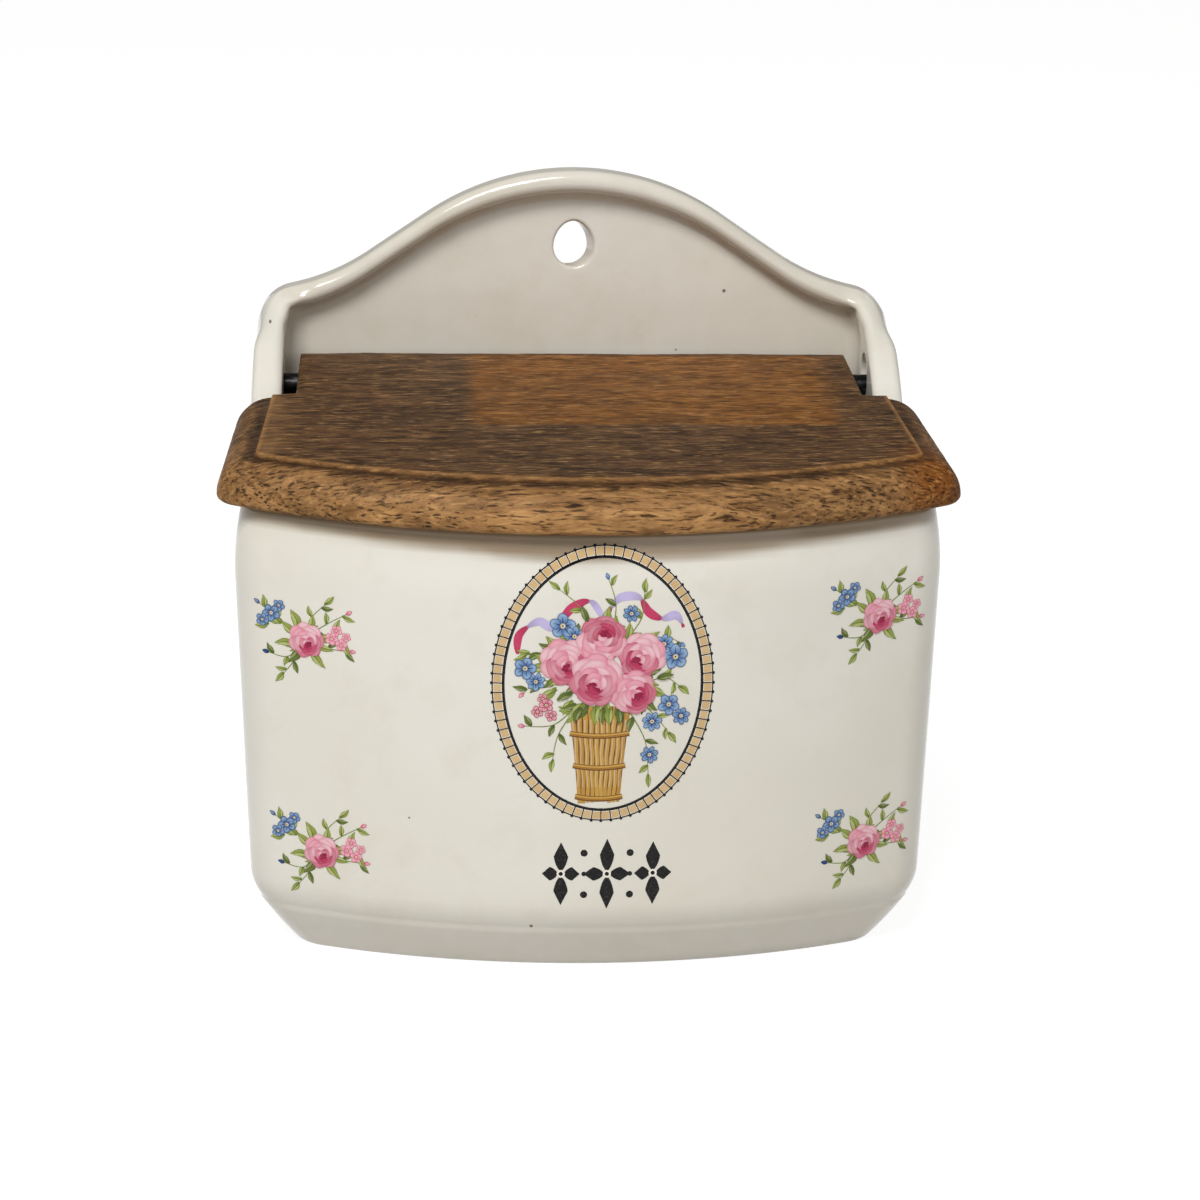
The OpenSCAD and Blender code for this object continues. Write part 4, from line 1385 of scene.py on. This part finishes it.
def make_transfers():
    printed = ink_material()
    frame_print = Transfer("medallion_frame", MEDALLION_X, MEDALLION_Z)
    draw_frame(frame_print)
    frame_print.build(printed)
    bouquet = Transfer("medallion_bouquet", MEDALLION_X, MEDALLION_Z)
    draw_bouquet(bouquet)
    bouquet.build(printed)
    places = ((-59.5, 70.8), (59.7, 75.8), (-56.7, 24.7), (57.9, 26.2))
    for k, (x, z) in enumerate(places):
        sprig = Transfer(f"sprig_{k + 1}", x, z)
        draw_sprig(sprig)
        sprig.build(printed)
    name_place = Transfer("name_place_ornament", 3.1, 23.2)
    draw_name_place(name_place)
    name_place.build(printed)


# ---------------------------------------------------------------- where the materials change

def mesh_points(obj):
    """The mesh's points as [x, u, z] in millimetres."""
    co = np.zeros(len(obj.data.vertices) * 3, np.float32)
    obj.data.vertices.foreach_get("co", co)
    p = co.reshape(-1, 3).astype(float) / MM
    return np.column_stack([p[:, 0], WALL_Y - p[:, 1], p[:, 2]])


def paint(obj, name, values):
    layer = obj.data.attributes.new(name, "FLOAT", "POINT")
    layer.data.foreach_set("value", np.clip(values, 0, 1).astype(np.float32))


def mesh_normals(obj):
    """The points' normals as [x, u, z]."""
    flat = np.zeros(len(obj.data.vertices) * 3, np.float32)
    obj.data.vertices.foreach_get("normal", flat)
    return flat.reshape(-1, 3).astype(float) * (1, -1, 1)


def lid_shadow_and_grime(p, normals):
    """Painted shadow of the lid's overhang, with grime in it, on the glaze just below the lid outside; it is
    deepest in the middle of the front.
    """
    x, u, z = p.T
    out = (normals[:, 0] * x + normals[:, 1] * (u - BODY_D / 2)) / np.hypot(x, u - BODY_D / 2)
    drop = 2.4 + 3.4 * np.exp(-((x - 6) / 48) ** 2) + 0.25 * Waves(29, 30)(x)
    near = smooth((z - rim_z(u) + drop + 1.2) / 2.4) * smooth((out - 0.1) / 0.3)
    return near * (u > CHEEK_D) * (z < RIM_H + 6)


def stains_and_shade(p):
    """Brown painted shade in the cove under the rolled rim and in the plate's corners; brown also low on the
    foot, in the hole and faintly over the plate.
    """
    x, u, z = p.T
    below = ogee_z(x) - z
    plate = (np.abs(x) < CHEEK_IN + 1) & (u > PLATE_T - 0.3) & (u < BEAD_D + 0.5) & (z > RIM_H)
    # Painted shade: the cove under the bead and the plate's inner corners are darkened brown
    cove = np.where(plate & (below > BEAD_H * 0.55), np.exp(-np.maximum(0, below - BEAD_H - 1.2) / 2.0), 0)
    cove *= smooth((below - BEAD_H * 0.55) / 1.6)
    side = np.where(plate & (below > BEAD_H), np.exp(-(CHEEK_IN - np.abs(x)) / 2.6), 0)
    left = 0.75 + 0.25 * smooth(-x / 50)
    foot = 0.16 * smooth((24 - z) / 20) * (z < 24)
    hang_up = z - OVERALL_H + HANG_DOWN
    bore = (np.hypot(x, hang_up - 1) < 7) & (u < PLATE_T - 0.25) & (u > 0.3)
    bore = bore * (0.3 + 0.5 * smooth((hang_up - 1) / 4))
    return np.maximum.reduce([cove * 0.34 * left, side * 0.35 * left, 0.13 * plate, foot, bore])


def finish_body():
    p = mesh_points(body)
    # Brown painted shade in the cove and the plate's corners, and brown on the foot, in the hole and over the
    # plate
    paint(body, "stain", stains_and_shade(p))
    # The painted shadow of the lid's overhang, with grime in it
    paint(body, "shade", lid_shadow_and_grime(p, mesh_normals(body)))
    paint(body, "bare", (p[:, 2] < 0.02).astype(float))
    body.data.materials.clear()
    body.data.materials.append(glaze_material())


# The rubbed, warmer patch on top of the lid, in the lid's own frame
PATCH_X = 15.4
PATCH_V = 21.5
PATCH_HALF_W = 39.5
PATCH_HALF_V = 29.5


def finish_lid():
    p = mesh_points(lid)
    x, u, z = p.T
    v = (u - HINGE_D) * math.cos(LID_TILT) - (z - HINGE_H) * math.sin(LID_TILT)
    h = (u - HINGE_D) * math.sin(LID_TILT) + (z - HINGE_H) * math.cos(LID_TILT)
    # How far below the raised field's step: the moulding is rubbed light all the way out
    below = LID_T / 2 - FIELD_STEP - h
    moulding = 0.72 * smooth(below / 0.8) + 0.28 * smooth(below / 5)
    on_edge = np.exp(-((lid_inset - MOULD_W - 0.42) / 0.34) ** 2) * (h > 0)
    front_like = smooth((v - NOTCH_V + 2) / 6)
    along = 0.74 + 0.26 * np.exp(-((x - 8) / 32) ** 2) + 0.08 * Waves(31, 40)(x, v)
    paint(lid, "worn", moulding * along * (0.35 + 0.65 * smooth((v - NOTCH_V) / 45)))
    forward = np.clip((v - NOTCH_V) / (LID_V - NOTCH_V), 0, 1)
    margin = mix(LID_W / 2 - LID_FLARE, LID_W / 2, forward) - MOULD_W - np.abs(x)
    on_margin = 0.42 * smooth((4.2 - margin) / 1.6) * (lid_inset > MOULD_W + 0.3) * (x < 0)
    # Painted highlight, with rubbed wear in it, along the field's arris at the front and along its left
    # margin
    rubbed = np.maximum(on_edge, on_margin) * (0.75 + 0.25 * Waves(17, 22)(x, v))
    paint(lid, "arris", rubbed * front_like)
    paint(lid, "amber", smooth((x - 61) / 10) * smooth((v - 58) / 20) * 0.9)
    # Painted shade in the crease at the foot of the field's step, at the front
    paint(lid, "groove", np.exp(-((h - LID_T / 2 + FIELD_STEP) / 0.22) ** 2) * front_like)
    px, pv = np.abs(x - PATCH_X) / PATCH_HALF_W, np.abs(v - PATCH_V) / PATCH_HALF_V
    paint(lid, "patch", smooth((1.06 - px) / 0.12) * smooth((1.02 - pv) / 0.04) * smooth((h - 4.6) / 0.3))
    lid.data.materials.clear()
    lid.data.materials.append(wood_material())


finish_body()
finish_lid()
make_transfers()
steel = steel_material()
for pin_name, _, _ in PINS:
    bpy.data.objects[pin_name].data.materials.append(steel)

bpy.context.scene.view_settings.view_transform = "Standard"
